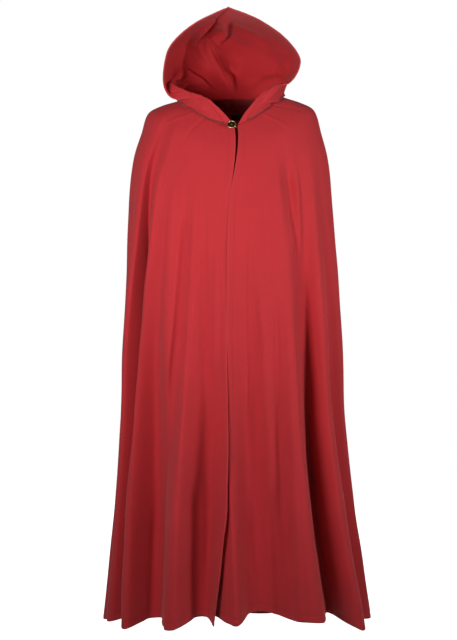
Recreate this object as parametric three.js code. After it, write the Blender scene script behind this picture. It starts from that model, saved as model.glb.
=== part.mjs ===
// A hooded medieval cape, filled out as worn, with nobody in it.
// Frame: millimetres, +Z up, -Y towards the front, -X is the wearer's right.
// The origin is the middle of the neck opening, level with the shoulders that hold the cape up.
import * as THREE from "three";

// Cloth and seams
const CLOTH = 1.6; // wall of the heavy cotton
const SEAM_GAP = 0.3; // between pieces that are sewn together
const HALF_GAP = SEAM_GAP / 2;
const NECK_TRIM = 0.3; // off each side where a seam turns sharply
const TAPE = 0.9; // thickness of the woven tape and of the label
const DEG = Math.PI / 180;

// How finely each wall is stepped
const STEPS = { frontAround: 30, backAround: 20, bodyDown: 20, hoodAround: 22, hoodUp: 16 };

// Turned hems double the cloth over these shares of a panel
const HEM_TURN = { foot: 0.985, hoodEdge: 0.05, frontEdge: 0.035 };
const TURN_STEP = 0.002; // the share over which a turned hem's inner edge steps up

// Rings of the body from the neck seam to the hem. at is the share of the way down; right and left are half
// widths; front and back are depths; edge is how far the front opening lies towards the wearer's left.
const BODY_RINGS = [
  { at: 0.0, right: 134, left: 132, front: 97, back: 90, edge: 12 },
  { at: 0.03, right: 176, left: 176, front: 113, back: 126, edge: 14 },
  { at: 0.06, right: 208, left: 209, front: 127, back: 148, edge: 13 },
  { at: 0.1, right: 224, left: 226, front: 140, back: 152, edge: 7 },
  { at: 0.15, right: 242, left: 240, front: 150, back: 147, edge: -3 },
  { at: 0.22, right: 250, left: 250, front: 160, back: 148, edge: -8 },
  { at: 0.35, right: 256, left: 260, front: 172, back: 160, edge: -9 },
  { at: 0.5, right: 262, left: 267, front: 184, back: 176, edge: -9 },
  { at: 0.65, right: 264, left: 272, front: 196, back: 194, edge: -8 },
  { at: 0.8, right: 275, left: 288, front: 212, back: 218, edge: -16 },
  { at: 0.9, right: 286, left: 306, front: 226, back: 236, edge: -28 },
  { at: 1.0, right: 297, left: 325, front: 240, back: 252, edge: -42 },
];
// The heights of the same rings
const RING_HEIGHTS = [
  { at: 0.0, front: -76, right: -5, left: 5, back: 16 },
  { at: 0.03, front: -107, right: -18, left: -9, back: 5 },
  { at: 0.06, front: -141, right: -36, left: -29, back: -16 },
  { at: 0.1, front: -190, right: -84, left: -84, back: -86 },
  { at: 0.15, front: -248, right: -145, left: -145, back: -158 },
  { at: 0.22, front: -328, right: -238, left: -238, back: -262 },
  { at: 0.35, front: -476, right: -408, left: -408, back: -438 },
  { at: 0.5, front: -648, right: -604, left: -604, back: -642 },
  { at: 0.65, front: -820, right: -802, left: -802, back: -846 },
  { at: 0.8, front: -1000, right: -1008, left: -1008, back: -1056 },
  { at: 0.9, front: -1126, right: -1150, left: -1150, back: -1196 },
  { at: 1.0, front: -1250, right: -1290, left: -1290, back: -1336 },
];
// How fast a ring drops from its side towards its middle, at the neck and below the shoulders
const RING_FALL = { neck: 2.6, body: 1.5, till: 0.3 };

// The folds. top, mid and hem are bearings in degrees from the front, + to the wearer's left; wide is half
// the width in degrees; from, full and till are the shares of the way down where it starts, is full and dies
// away; depth is how far it stands out (+) or in (-); lean is how far its lip is pushed round; drop lowers
// the hem.
const FRONT_RIGHT_FOLDS = [
  { name: "arm lip", top: -57, mid: -69, hem: -76, wide: 8, from: 0.03, full: 0.4,
    depth: 27, lean: 14, drop: 2 },
  { name: "arm valley", top: -46, mid: -60, hem: -65, wide: 7, from: 0.02, full: 0.35,
    depth: -52, lean: -14, drop: -8 },
  { name: "arm front", top: -36, mid: -53, hem: -52, wide: 8, from: 0.06, full: 0.8,
    depth: 32, lean: -12, drop: 14 },
  { name: "side valley", top: -44, mid: -45, hem: -39, wide: 11, from: 0.3, full: 0.85,
    depth: -58, drop: 2 },
  { name: "soft crest", top: -32, mid: -35, hem: -50, wide: 7, from: 0.1, full: 0.45, till: 0.82,
    depth: 12 },
  { name: "breast valley", top: -25, mid: -27, hem: -40, wide: 7, from: 0.1, full: 0.45, till: 1.2,
    depth: -14 },
  { name: "main crest", top: -19, mid: -21, hem: -25, wide: 13, from: 0.14, full: 0.8,
    depth: 46, lean: -14, drop: 13 },
  { name: "inner valley", top: -14, mid: -13, hem: -12, wide: 11, from: 0.15, full: 0.8,
    depth: -58, drop: -6 },
  { name: "inner crest", top: -7, mid: -9, hem: -6, wide: 5, from: 0.15, full: 0.5, depth: 8 },
];
const FRONT_LEFT_FOLDS = [
  { name: "opening crest", top: 3, mid: 1, hem: 1, wide: 8, from: 0.5, depth: 26, lean: 8, drop: 6 },
  { name: "opening valley", top: 8, mid: 10, hem: 14, wide: 13, from: 0.2, full: 0.85,
    depth: -56, lean: -6, drop: -14 },
  { name: "soft crest", top: 16, mid: 19, hem: 18, wide: 6, from: 0.2, full: 0.6, till: 0.95, depth: 10 },
  { name: "soft valley", top: 22, mid: 25, hem: 25, wide: 6, from: 0.3, full: 0.8, depth: -16 },
  { name: "main crest", top: 26, mid: 33, hem: 37, wide: 11, from: 0.12, full: 0.8, depth: 40, drop: -5 },
  { name: "chest valley", top: 34, mid: 36, hem: 37, wide: 6, from: 0.08, full: 0.15, till: 0.3,
    depth: -12 },
  { name: "deep valley", top: 42, mid: 46, hem: 53, wide: 12, from: 0.08, full: 0.75,
    depth: -74, drop: -10 },
  { name: "arm crest", top: 52, mid: 57, hem: 68, wide: 10, from: 0.06, full: 0.9,
    depth: 38, lean: -24, drop: 16 },
  { name: "arm valley", top: 62, mid: 68, hem: 84, wide: 8, from: 0.08, full: 0.9, depth: -26, drop: -2 },
];
const BACK_FOLDS = [
  { name: "left side crest", top: 80, mid: 84, hem: 89, wide: 11, from: 0.1, depth: 28, drop: 6 },
  { name: "left seam valley", top: 97, mid: 100, hem: 103, wide: 11, from: 0.12, depth: -36, drop: -6 },
  { name: "left blade", top: 112, mid: 116, hem: 119, wide: 12, from: 0.1, depth: 42, lean: 12, drop: 6 },
  { name: "left back valley", top: 128, mid: 132, hem: 134, wide: 11, from: 0.12, full: 0.85,
    depth: -46, drop: -8 },
  { name: "left rear", top: 146, mid: 147, hem: 150, wide: 12, from: 0.16, depth: 42, lean: -12, drop: 6 },
  { name: "left spine valley", top: 163, mid: 164, hem: 165, wide: 10, from: 0.24, depth: -36, drop: -6 },
  { name: "spine crest", top: 181, mid: 179, hem: 180, wide: 12, from: 0.18, depth: 36, lean: 10, drop: 6 },
  { name: "right spine valley", top: 198, mid: 196, hem: 196, wide: 11, from: 0.2, full: 0.85,
    depth: -42, drop: -8 },
  { name: "right rear", top: 215, mid: 213, hem: 212, wide: 12, from: 0.14, depth: 44, lean: 14, drop: 8 },
  { name: "right back valley", top: 232, mid: 230, hem: 228, wide: 11, from: 0.1, full: 0.85,
    depth: -42, drop: -6 },
  { name: "right blade", top: 249, mid: 246, hem: 243, wide: 12, from: 0.1, depth: 40, lean: -10, drop: 6 },
  { name: "right seam valley", top: 265, mid: 262, hem: 258, wide: 10, from: 0.12, depth: -34, drop: -6 },
  { name: "right side crest", top: 279, mid: 276, hem: 272, wide: 9, from: 0.1, depth: 22, drop: 4 },
];
const FOLDS = [...FRONT_RIGHT_FOLDS, ...FRONT_LEFT_FOLDS, ...BACK_FOLDS];

// How slowly a fold opens below its start, and how round it is: less than 1 is rounder
const FOLD_GROWTH = 1.3;
const FOLD_ROUND = 0.7;
// Folds stand out straight to the front and back, and only turn sideways past this share of the half width
const FOLD_TURN = { from: 0.75, sideways: 0.35 };

// Where the side seams and the back seam run, as bearings
const SIDE_SEAM = { right: -101, left: 99 };
const BACK_SEAM = 180;

// The wearer's right front edge turns outwards towards the hem, and the left one stands up a little, by a
// share of that, round the chest
const EDGE_CURL = { from: 0.2, out: 42, down: 16, wide: 8, growth: 2.2 };
const EDGE_LIP = { share: 0.1, at: 0.33, tall: 0.28 };
// The fronts stand apart below the button and then meet
const OPENING = { top: 9, gap: 0.8, meets: 0.16 };

// Sections of the hood from the neck seam up to the ridge. Each side runs from the opening edge to the
// centre seam; side and rear are the handles that round it, and lift is the side handle's share of the
// height. The seam belongs to both halves.
const HOOD_SEAM = [
  { at: 0.12, x: 0, y: 104, z: 42 },
  { at: 0.24, x: -7, y: 116, z: 66 },
  { at: 0.36, x: -18, y: 124, z: 90 },
  { at: 0.5, x: -34, y: 127, z: 116 },
  { at: 0.64, x: -47, y: 121, z: 140 },
  { at: 0.78, x: -57, y: 107, z: 164 },
  { at: 0.9, x: -60, y: 86, z: 182 },
  { at: 1.0, x: -57, y: 56, z: 194 },
];
const HOOD_RIGHT = [
  { at: 0.12, lift: 0.85, edgeX: -36, edgeY: -108, edgeZ: -31, sideX: -184, sideY: -100, rearX: -168 },
  { at: 0.24, lift: 0.75, edgeX: -77, edgeY: -98, edgeZ: -9, sideX: -190, sideY: -92, rearX: -168 },
  { at: 0.36, lift: 0.62, edgeX: -134, edgeY: -72, edgeZ: -9, sideX: -180, sideY: -42, rearX: -164 },
  { at: 0.5, lift: 0.52, edgeX: -161, edgeY: -74, edgeZ: 22, sideX: -166, sideY: -10, rearX: -150 },
  { at: 0.64, lift: 0.45, edgeX: -158, edgeY: -92, edgeZ: 78, sideX: -156, sideY: -20, rearX: -140 },
  { at: 0.78, lift: 0.45, edgeX: -138, edgeY: -108, edgeZ: 121, sideX: -138, sideY: -40, rearX: -125 },
  { at: 0.9, lift: 0.45, edgeX: -81, edgeY: -128, edgeZ: 166, sideX: -90, sideY: -60, rearX: -86 },
  { at: 1.0, lift: 0.45, edgeX: -7, edgeY: -138, edgeZ: 198, sideX: -22, sideY: -70, rearX: -50 },
];
const HOOD_LEFT = [
  { at: 0.12, lift: 0.85, edgeX: 42, edgeY: -108, edgeZ: -38, sideX: 176, sideY: -98, rearX: 158 },
  { at: 0.24, lift: 0.75, edgeX: 86, edgeY: -97, edgeZ: 6, sideX: 180, sideY: -86, rearX: 158 },
  { at: 0.36, lift: 0.62, edgeX: 141, edgeY: -72, edgeZ: 33, sideX: 172, sideY: -30, rearX: 156 },
  { at: 0.5, lift: 0.52, edgeX: 165, edgeY: -75, edgeZ: 70, sideX: 165, sideY: -10, rearX: 144 },
  { at: 0.64, lift: 0.45, edgeX: 160, edgeY: -92, edgeZ: 97, sideX: 160, sideY: -20, rearX: 124 },
  { at: 0.78, lift: 0.45, edgeX: 122, edgeY: -108, edgeZ: 138, sideX: 128, sideY: -40, rearX: 98 },
  { at: 0.9, lift: 0.45, edgeX: 63, edgeY: -128, edgeZ: 172, sideX: 72, sideY: -60, rearX: 40 },
  { at: 1.0, lift: 0.45, edgeX: -7, edgeY: -138, edgeZ: 198, sideX: -22, sideY: -70, rearX: -50 },
];
// The rear handle's share of the height, and of the depth on the sections and on the ridge
const HOOD_REAR = { height: 0.85, depth: 0.98, ridgeDepth: 0.7 };

// Creases of the hood. up and along place its middle, + along to the wearer's left of the seam; tall is half
// its height, right and left its widths on those sides, and in how far it stands into the hood.
const HOOD_CREASES = [
  { name: "seam ridge", up: 0.52, along: -0.03, tall: 0.5, right: 0.2, left: 0.08, in: 30 },
  { name: "hollow left of the seam", up: 0.5, along: 0.05, tall: 0.42, right: 0.08, left: 0.16, in: -18 },
  { name: "hollow right of the seam", up: 0.6, along: -0.32, tall: 0.4, right: 0.22, left: 0.2, in: -12 },
  { name: "fold under the peak", up: 0.8, along: 0.3, tall: 0.3, right: 0.14, left: 0.14, in: 9 },
  { name: "fold over the shoulder", up: 0.42, along: -0.5, tall: 0.14, right: 0.24, left: 0.24, in: 9 },
];

// The creases die away over this share of the height, next to the neck seam and the ridge
const HOOD_CALM = 0.12;

// Fastening and trimmings
const BUTTON = { radius: 11.5, rim: 2.4, rise: 3.4, well: 1.5, boss: 2.4, bossRise: 0.8, bevel: 0.8 };
const BUTTON_PLACE = { stand: 5, lift: 0.6, x: 0.7, below: 5, lean: 0.2 };
const BUTTON_STEPS = { around: 24, arc: 5 };
const SHANK = { radius: 1.6 };
const LOOP = { radius: 0.9, sides: 6, steps: 22, high: 2.7, slack: 0.8, from: 2.6, to: 9, clear: 0.6 };
const NECK_TAPE = { low: 0.6, high: 8.5, clear: 0.95 };
const LABEL = { wide: 25, high: 16, aside: 1, below: 66 };

const COLOURS = { cloth: 0xa9242c, tape: 0x7d2a2c, label: 0x1f1d1c, brass: 0xa98a62, cord: 0x6a4a2c };

const clamp01 = (x) => Math.min(1, Math.max(0, x));
const smooth = (x) => clamp01(x) ** 2 * (3 - 2 * clamp01(x));
const mix = (a, b, t) => a + (b - a) * t;
const bell = (s) => (Math.abs(s) < 1 ? 0.5 + 0.5 * Math.cos(Math.PI * s) : 0);
// The shortest way round from one bearing to another
const turn = (degrees) => ((((degrees + 180) % 360) + 360) % 360) - 180;
const steps = (count, from = 0, to = 1) =>
  Array.from({ length: count + 1 }, (_, i) => mix(from, to, i / count));

// A smooth value read from a table: a cubic through the rows of one column.
function column(rows, key, at) {
  const last = rows.length - 1;
  let i = 0;
  while (i < last - 1 && at > rows[i + 1].at) i += 1;
  const before = rows[Math.max(i - 1, 0)];
  const a = rows[i];
  const b = rows[i + 1];
  const after = rows[Math.min(i + 2, last)];
  const span = b.at - a.at;
  const t = (at - a.at) / span;
  const slopeA = ((b[key] - before[key]) / (b.at - before.at)) * span;
  const slopeB = ((after[key] - a[key]) / (after.at - a.at)) * span;
  const t2 = t * t;
  const t3 = t2 * t;
  return (
    (2 * t3 - 3 * t2 + 1) * a[key] +
    (t3 - 2 * t2 + t) * slopeA +
    (3 * t2 - 2 * t3) * b[key] +
    (t3 - t2) * slopeB
  );
}

// What the folds add at a bearing: out from the ring, round it, and down.
function foldsAt(bearing, at) {
  const sum = { out: 0, round: 0, down: 0 };
  for (const { top, mid, hem, wide, from, full = 1, till = 2, depth, lean = 0, drop = 0 } of FOLDS) {
    const middle = top * (1 - at) * (1 - 2 * at) + mid * 4 * at * (1 - at) + hem * at * (2 * at - 1);
    const grown = clamp01((at - from) / (full - from)) ** FOLD_GROWTH;
    const ended = smooth((till - at) / (till - full));
    const share = bell(turn(bearing - middle) / wide) ** FOLD_ROUND * grown * ended;
    sum.out += depth * share;
    sum.round += lean * share;
    sum.down += drop * share * at ** 2;
  }
  return sum;
}

// The bearing of the front opening at a height
function openingBearing(at) {
  const edge = column(BODY_RINGS, "edge", at);
  return Math.asin(edge / column(BODY_RINGS, edge < 0 ? "right" : "left", at)) / DEG;
}

// A point on the outside of the body. bearing is in degrees, at is the share of the way down, and curl is
// the share of the front edge's curl there.
function bodyPoint(bearing, at, curl = 0) {
  const s = Math.sin(bearing * DEG);
  const c = Math.cos(bearing * DEG);
  const half = column(BODY_RINGS, s < 0 ? "right" : "left", at);
  const depth = column(BODY_RINGS, c > 0 ? "front" : "back", at);
  const zSide = column(RING_HEIGHTS, s < 0 ? "right" : "left", at);
  const zMiddle = column(RING_HEIGHTS, c > 0 ? "front" : "back", at);
  const fold = foldsAt(bearing, at);
  const turned = smooth((Math.abs(s) - FOLD_TURN.from) / (1 - FOLD_TURN.from));
  const out = new THREE.Vector2((mix(FOLD_TURN.sideways, 1, turned) * s) / half, -c / depth).normalize();
  const push = fold.out + curl * EDGE_CURL.out;
  const x = half * s + out.x * push - out.y * fold.round;
  const y = -depth * c + out.y * push + out.x * fold.round;
  const fall = mix(RING_FALL.neck, RING_FALL.body, smooth(at / RING_FALL.till));
  const z = zSide + (zMiddle - zSide) * Math.abs(c) ** fall - fold.down - curl * EDGE_CURL.down;
  return new THREE.Vector3(x, y, z);
}

// The columns of a hood half, from the opening edge (0) to the centre seam (1)
const hoodCols = [0, HEM_TURN.hoodEdge - TURN_STEP, ...steps(STEPS.hoodAround, HEM_TURN.hoodEdge, 1)];

// The bearing of the neck seam at a share of the way from the front edge to the middle of the back
function neckBearing(side, along) {
  const sign = side === "right" ? -1 : 1;
  const apart = OPENING.top / 2 / (BODY_RINGS[0][side] * DEG);
  return mix(openingBearing(0) + sign * apart, sign * 180, along);
}

// The neck seam of both body and hood: straight between the hood's columns, so that the two meet evenly
function neckPoint(bearing) {
  const side = bearing < openingBearing(0) ? "right" : "left";
  const start = neckBearing(side, 0);
  const along = clamp01((bearing - start) / (neckBearing(side, 1) - start));
  const k = Math.min(hoodCols.findLastIndex((c) => c <= along), hoodCols.length - 2);
  const share = (along - hoodCols[k]) / (hoodCols[k + 1] - hoodCols[k]);
  const [a, b] = [hoodCols[k], hoodCols[k + 1]].map((col) => bodyPoint(neckBearing(side, col), 0));
  return a.lerp(b, share);
}

// The body from a front edge to a side seam, as a function of two shares: across and down.
function frontPanel(side) {
  const sign = side === "right" ? -1 : 1;
  return (across, down) => {
    const apart = mix(OPENING.top, OPENING.gap, smooth(down / OPENING.meets)) / 2;
    const start = openingBearing(down) + (sign * apart) / (column(BODY_RINGS, side, down) * DEG);
    const bearing = mix(start, SIDE_SEAM[side], across);
    if (down === 0) return neckPoint(bearing);
    const grown = clamp01((down - EDGE_CURL.from) / (1 - EDGE_CURL.from)) ** EDGE_CURL.growth;
    const lip = EDGE_LIP.share * bell((down - EDGE_LIP.at) / EDGE_LIP.tall);
    const near = clamp01(1 - Math.abs(bearing - start) / EDGE_CURL.wide) ** 2;
    return bodyPoint(bearing, down, (side === "right" ? grown : lip) * near);
  };
}
function backPanel(side) {
  const end = side === "right" ? -BACK_SEAM : BACK_SEAM;
  return (across, down) => {
    const bearing = mix(SIDE_SEAM[side], end, across);
    return down === 0 ? neckPoint(bearing) : bodyPoint(bearing, down);
  };
}

// One section of a hood half, from the opening edge (0) to the centre seam (1), as a cubic with two handles.
function hoodSection(row, seam, along) {
  const rise = seam.z - row.edgeZ;
  const rearDepth = row.at === 1 ? HOOD_REAR.ridgeDepth : HOOD_REAR.depth;
  const rearY = mix(row.edgeY, seam.y, rearDepth);
  const curve = new THREE.CubicBezierCurve3(
    new THREE.Vector3(row.edgeX, row.edgeY, row.edgeZ),
    new THREE.Vector3(row.sideX, row.sideY, row.edgeZ + rise * row.lift),
    new THREE.Vector3(row.rearX, rearY, row.edgeZ + rise * HOOD_REAR.height),
    new THREE.Vector3(seam.x, seam.y, seam.z),
  );
  return curve.getPoint(along);
}

// A point of the hood. up runs from the neck seam (0) to the ridge (1) and on over it; around runs from
// the right opening edge (-1) by the centre seam (0) to the left opening edge (+1).
function hoodPoint(up, around) {
  if (up > 1) return hoodPoint(2 - up, -around);
  const side = around < 0 ? "right" : "left";
  const rows = around < 0 ? HOOD_RIGHT : HOOD_LEFT;
  const along = 1 - Math.abs(around);
  const foot = bodyPoint(neckBearing(side, along), 0);
  const points = [{ at: 0, x: foot.x, y: foot.y, z: foot.z }];
  rows.forEach((row, i) => {
    const p = hoodSection(row, HOOD_SEAM[i], along);
    points.push({ at: row.at, x: p.x, y: p.y, z: p.z });
  });
  return new THREE.Vector3(column(points, "x", up), column(points, "y", up), column(points, "z", up));
}

// The normal of a surface given as a function of two shares, with the sign that points it out of the cape
function normalOf(surface, u, v, outward) {
  const h = 0.004;
  const du = surface(u + h, v).sub(surface(u - h, v));
  const dv = surface(u, v + h).sub(surface(u, v - h));
  return du.cross(dv).normalize().multiplyScalar(outward);
}

function hoodCreased(up, around) {
  const p = hoodPoint(up, around);
  const ends = smooth((1 - up) / HOOD_CALM) * smooth(up / HOOD_CALM);
  let inward = 0;
  for (const crease of HOOD_CREASES) {
    const off = around - crease.along;
    const across = bell(off / (off < 0 ? crease.right : crease.left));
    inward += crease.in * bell((up - crease.up) / crease.tall) * across * ends;
  }
  return inward === 0 ? p : p.addScaledVector(normalOf(hoodPoint, up, around, 1), -inward);
}

// The ridge and the back seam run into one another at the far corner, where both sides share one normal.
function hoodNormal(up, around) {
  const near = 0.96;
  if (Math.min(up, 1 - Math.abs(around)) < near) return normalOf(hoodCreased, up, around, 1);
  const right = normalOf(hoodCreased, near, near - 1, 1);
  return right.add(normalOf(hoodCreased, near, 1 - near, 1)).normalize();
}

// Turns a closed mesh's faces outwards if its volume comes out negative.
function outwards(geometry) {
  const p = geometry.getAttribute("position");
  const index = geometry.getIndex();
  const [a, b, c] = [new THREE.Vector3(), new THREE.Vector3(), new THREE.Vector3()];
  let volume = 0;
  for (let i = 0; i < index.count; i += 3) {
    a.fromBufferAttribute(p, index.getX(i));
    b.fromBufferAttribute(p, index.getX(i + 1));
    c.fromBufferAttribute(p, index.getX(i + 2));
    volume += a.dot(b.cross(c));
  }
  if (volume < 0) {
    for (let i = 0; i < index.count; i += 3) {
      const first = index.getX(i);
      index.setX(i, index.getX(i + 1));
      index.setX(i + 1, first);
    }
  }
  geometry.computeVertexNormals();
  return geometry;
}

// A closed wall over a grid of outer points. thickness is a number or a function of the grid place.
function wall(grid, thickness) {
  const { points, normals } = grid;
  const rows = points.length;
  const cols = points[0].length;
  const positions = [];
  for (let skin = 0; skin < 2; skin += 1) {
    points.forEach((line, i) =>
      line.forEach((p, j) => {
        const deep = skin * (typeof thickness === "number" ? thickness : thickness(i, j));
        const q = p.clone().addScaledVector(normals[i][j], -deep);
        positions.push(q.x, q.y, q.z);
      }),
    );
  }
  const id = (skin, i, j) => skin * rows * cols + i * cols + j;
  const index = [];
  const quad = (a, b, c, d) => index.push(a, b, c, a, c, d);
  for (let i = 0; i < rows - 1; i += 1) {
    for (let j = 0; j < cols - 1; j += 1) {
      quad(id(0, i, j), id(0, i, j + 1), id(0, i + 1, j + 1), id(0, i + 1, j));
      quad(id(1, i, j), id(1, i + 1, j), id(1, i + 1, j + 1), id(1, i, j + 1));
    }
    quad(id(0, i, 0), id(0, i + 1, 0), id(1, i + 1, 0), id(1, i, 0));
    quad(id(0, i, cols - 1), id(1, i, cols - 1), id(1, i + 1, cols - 1), id(0, i + 1, cols - 1));
  }
  for (let j = 0; j < cols - 1; j += 1) {
    quad(id(0, 0, j), id(1, 0, j), id(1, 0, j + 1), id(0, 0, j + 1));
    quad(id(0, rows - 1, j), id(0, rows - 1, j + 1), id(1, rows - 1, j + 1), id(1, rows - 1, j));
  }
  const geometry = new THREE.BufferGeometry();
  geometry.setAttribute("position", new THREE.Float32BufferAttribute(positions, 3));
  geometry.setIndex(index);
  return outwards(geometry);
}

// The grid of a panel: its outer points and normals at the given shares, each side drawn back from its seam.
function panelGrid(surface, cols, rows, { normalAt, trim }) {
  const on = cols.map((u) => rows.map((v) => surface(u, v)));
  const normals = cols.map((u) => rows.map((v) => normalAt(u, v)));
  // Both sides of the neck seam turn in along the same line, away from the neck's middle
  normals.forEach((line, i) => line[0].set(on[i][0].x, on[i][0].y, 0).normalize());
  const points = on.map((line) => line.map((p) => p.clone()));
  const draw = (i, j, iNext, jNext, by) =>
    points[i][j].addScaledVector(on[iNext][jNext].clone().sub(on[i][j]).normalize(), by);
  const lastCol = cols.length - 1;
  const lastRow = rows.length - 1;
  for (let j = 0; j <= lastRow; j += 1) {
    draw(0, j, 1, j, trim.start ?? 0);
    draw(lastCol, j, lastCol - 1, j, trim.end ?? 0);
  }
  for (let i = 0; i <= lastCol; i += 1) {
    draw(i, 0, i, 1, trim.foot ?? 0);
    draw(i, lastRow, i, lastRow - 1, trim.top ?? 0);
  }
  return { points, normals };
}

// A point or normal between the corners of a grid, at fractional places
function between(lines, i, j) {
  const i0 = Math.min(Math.floor(i), lines.length - 2);
  const j0 = Math.min(Math.floor(j), lines[0].length - 2);
  const low = lines[i0][j0].clone().lerp(lines[i0][j0 + 1], j - j0);
  const high = lines[i0 + 1][j0].clone().lerp(lines[i0 + 1][j0 + 1], j - j0);
  return low.lerp(high, i - i0);
}

// A piece that lies on the inside of a panel, made from the panel's own points
function liningGrid(grid, cols, rowsAt, clear = SEAM_GAP) {
  const inset = CLOTH + clear;
  const normals = cols.map((i) => rowsAt(i).map((j) => between(grid.normals, i, j)));
  const points = cols.map((i, a) =>
    rowsAt(i).map((j, b) => between(grid.points, i, j).addScaledVector(normals[a][b], -inset)),
  );
  return { points, normals };
}

// Shares down the body, closer together over the shoulders, with the turned hem's edge
const bodyRows = steps(STEPS.bodyDown).map((t) => (0.4 * t + 0.6 * t ** 1.8) * HEM_TURN.foot);
bodyRows.push(HEM_TURN.foot + TURN_STEP / 2, 1);
const hemTurned = (j) => j >= bodyRows.length - 2;

const materials = {};
for (const [name, colour] of Object.entries(COLOURS)) {
  const metal = name === "brass";
  materials[name] = new THREE.MeshStandardMaterial({
    color: colour,
    roughness: metal ? 0.42 : 0.85,
    metalness: metal ? 1 : 0,
    side: THREE.DoubleSide,
  });
}

const cape = new THREE.Group();
function add(name, geometry, material) {
  const mesh = new THREE.Mesh(geometry, materials[material]);
  mesh.name = name;
  cape.add(mesh);
}

const grids = {};
for (const side of ["right", "left"]) {
  const sign = side === "right" ? -1 : 1;
  const frontCols = [0, HEM_TURN.frontEdge - TURN_STEP, ...steps(STEPS.frontAround, HEM_TURN.frontEdge, 1)];
  const front = frontPanel(side);
  const frontThickness = (i, j) => (i < 2 || hemTurned(j) ? 2 : 1) * CLOTH;
  grids[`front_${side}`] = panelGrid(front, frontCols, bodyRows, {
    normalAt: (across, down) => normalOf(front, across, down, -sign),
    trim: { end: HALF_GAP, foot: NECK_TRIM },
  });
  add(`front_${side}`, wall(grids[`front_${side}`], frontThickness), "cloth");

  const back = backPanel(side);
  grids[`back_${side}`] = panelGrid(back, steps(STEPS.backAround), bodyRows, {
    normalAt: (across, down) => normalOf(back, across, down, -sign),
    trim: { start: HALF_GAP, end: HALF_GAP, foot: NECK_TRIM },
  });
  add(`back_${side}`, wall(grids[`back_${side}`], (i, j) => (hemTurned(j) ? 2 : 1) * CLOTH), "cloth");

  const hood = (along, up) => hoodCreased(up, sign * (1 - along));
  grids[`hood_${side}`] = panelGrid(hood, hoodCols, steps(STEPS.hoodUp), {
    normalAt: (along, up) => hoodNormal(up, sign * (1 - along)),
    trim: { end: NECK_TRIM, foot: NECK_TRIM, top: HALF_GAP },
  });
  add(`hood_${side}`, wall(grids[`hood_${side}`], (i) => (i < 2 ? 2 : 1) * CLOTH), "cloth");
}

// The tape lies over the neck seam inside, round both halves of the hood in one length.
function neckTapeGrid() {
  const rise = (grid, i, mm) => mm / grid.points[i][0].distanceTo(grid.points[i][1]);
  const first = 2; // past the turned hem of the opening
  const half = (grid) => {
    const cols = steps(grid.points.length - 1 - first, first, grid.points.length - 1);
    const rowsAt = (i) => [rise(grid, i, NECK_TAPE.low), rise(grid, i, NECK_TAPE.high)];
    return liningGrid(grid, cols, rowsAt, NECK_TAPE.clear);
  };
  const right = half(grids.hood_right);
  const left = half(grids.hood_left);
  return {
    points: [...right.points, ...left.points.slice(0, -1).reverse()],
    normals: [...right.normals, ...left.normals.slice(0, -1).reverse()],
  };
}
add("neck_tape", wall(neckTapeGrid(), TAPE), "tape");

// The grid places from one to another, with every whole one between them
function span(from, to) {
  const whole = [];
  for (let k = Math.floor(from) + 1; k < to; k += 1) whole.push(k);
  return [from, ...whole, to];
}

// How many grid steps lie within a distance along a line of points
function stepsWithin(line, distance) {
  let left = distance;
  let k = 0;
  while (line[k].distanceTo(line[k + 1]) < left) {
    left -= line[k].distanceTo(line[k + 1]);
    k += 1;
  }
  return k + left / line[k].distanceTo(line[k + 1]);
}

// The label is sewn inside the left back, beside the centre seam and below the tape.
function labelGrid() {
  const grid = grids.back_left;
  const last = grid.points.length - 1;
  const down = grid.points[last];
  const rows = span(stepsWithin(down, LABEL.below), stepsWithin(down, LABEL.below + LABEL.high));
  const level = Math.round(rows[0]);
  const fromSeam = grid.points.map((line) => line[level]).reverse();
  const near = stepsWithin(fromSeam, LABEL.aside);
  const far = stepsWithin(fromSeam, LABEL.aside + LABEL.wide);
  return liningGrid(grid, span(last - far, last - near), () => rows);
}
add("label", wall(labelGrid(), TAPE), "label");

// Where the button's shank stands on the right front: its place, and the frame of the cloth there
function buttonFrame() {
  const grid = grids.front_right;
  const edge = grid.points.map((line) => line[0]);
  const i = stepsWithin(edge, edge[0].x - BUTTON_PLACE.x);
  const j = stepsWithin(grid.points[Math.round(i)], BUTTON_PLACE.below);
  const foot = between(grid.points, i, j);
  const out = between(grid.normals, i, j).normalize();
  const across = new THREE.Vector3(1, 0, 0).addScaledVector(out, -out.x).normalize();
  return { foot, out, across, up: out.clone().cross(across) };
}

// One casting: a shank, a flat back, a rounded rim, a sunk well and a low boss. It leans back a little.
function buttonGeometry(at) {
  const { stand, lift, lean } = BUTTON_PLACE;
  const round = BUTTON.rim / 2;
  const well = stand + BUTTON.well;
  const path = new THREE.Path();
  path.moveTo(0, lift);
  path.lineTo(SHANK.radius, lift);
  path.lineTo(SHANK.radius, stand);
  path.lineTo(BUTTON.radius - BUTTON.bevel, stand);
  path.absarc(BUTTON.radius - round, stand + BUTTON.rise - round, round, 0, Math.PI);
  path.lineTo(BUTTON.radius - BUTTON.rim, well);
  path.lineTo(BUTTON.boss, well);
  path.lineTo(BUTTON.boss - BUTTON.bevel, well + BUTTON.bossRise);
  path.lineTo(0, well + BUTTON.bossRise);
  const geometry = new THREE.LatheGeometry(path.getPoints(BUTTON_STEPS.arc), BUTTON_STEPS.around);
  const axis = at.out.clone().multiplyScalar(Math.cos(lean)).addScaledVector(at.up, Math.sin(lean));
  geometry.applyQuaternion(new THREE.Quaternion().setFromUnitVectors(new THREE.Vector3(0, 1, 0), axis));
  geometry.translate(at.foot.x, at.foot.y, at.foot.z);
  return geometry;
}
const buttonAt = buttonFrame();
add("button", buttonGeometry(buttonAt), "brass");

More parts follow.
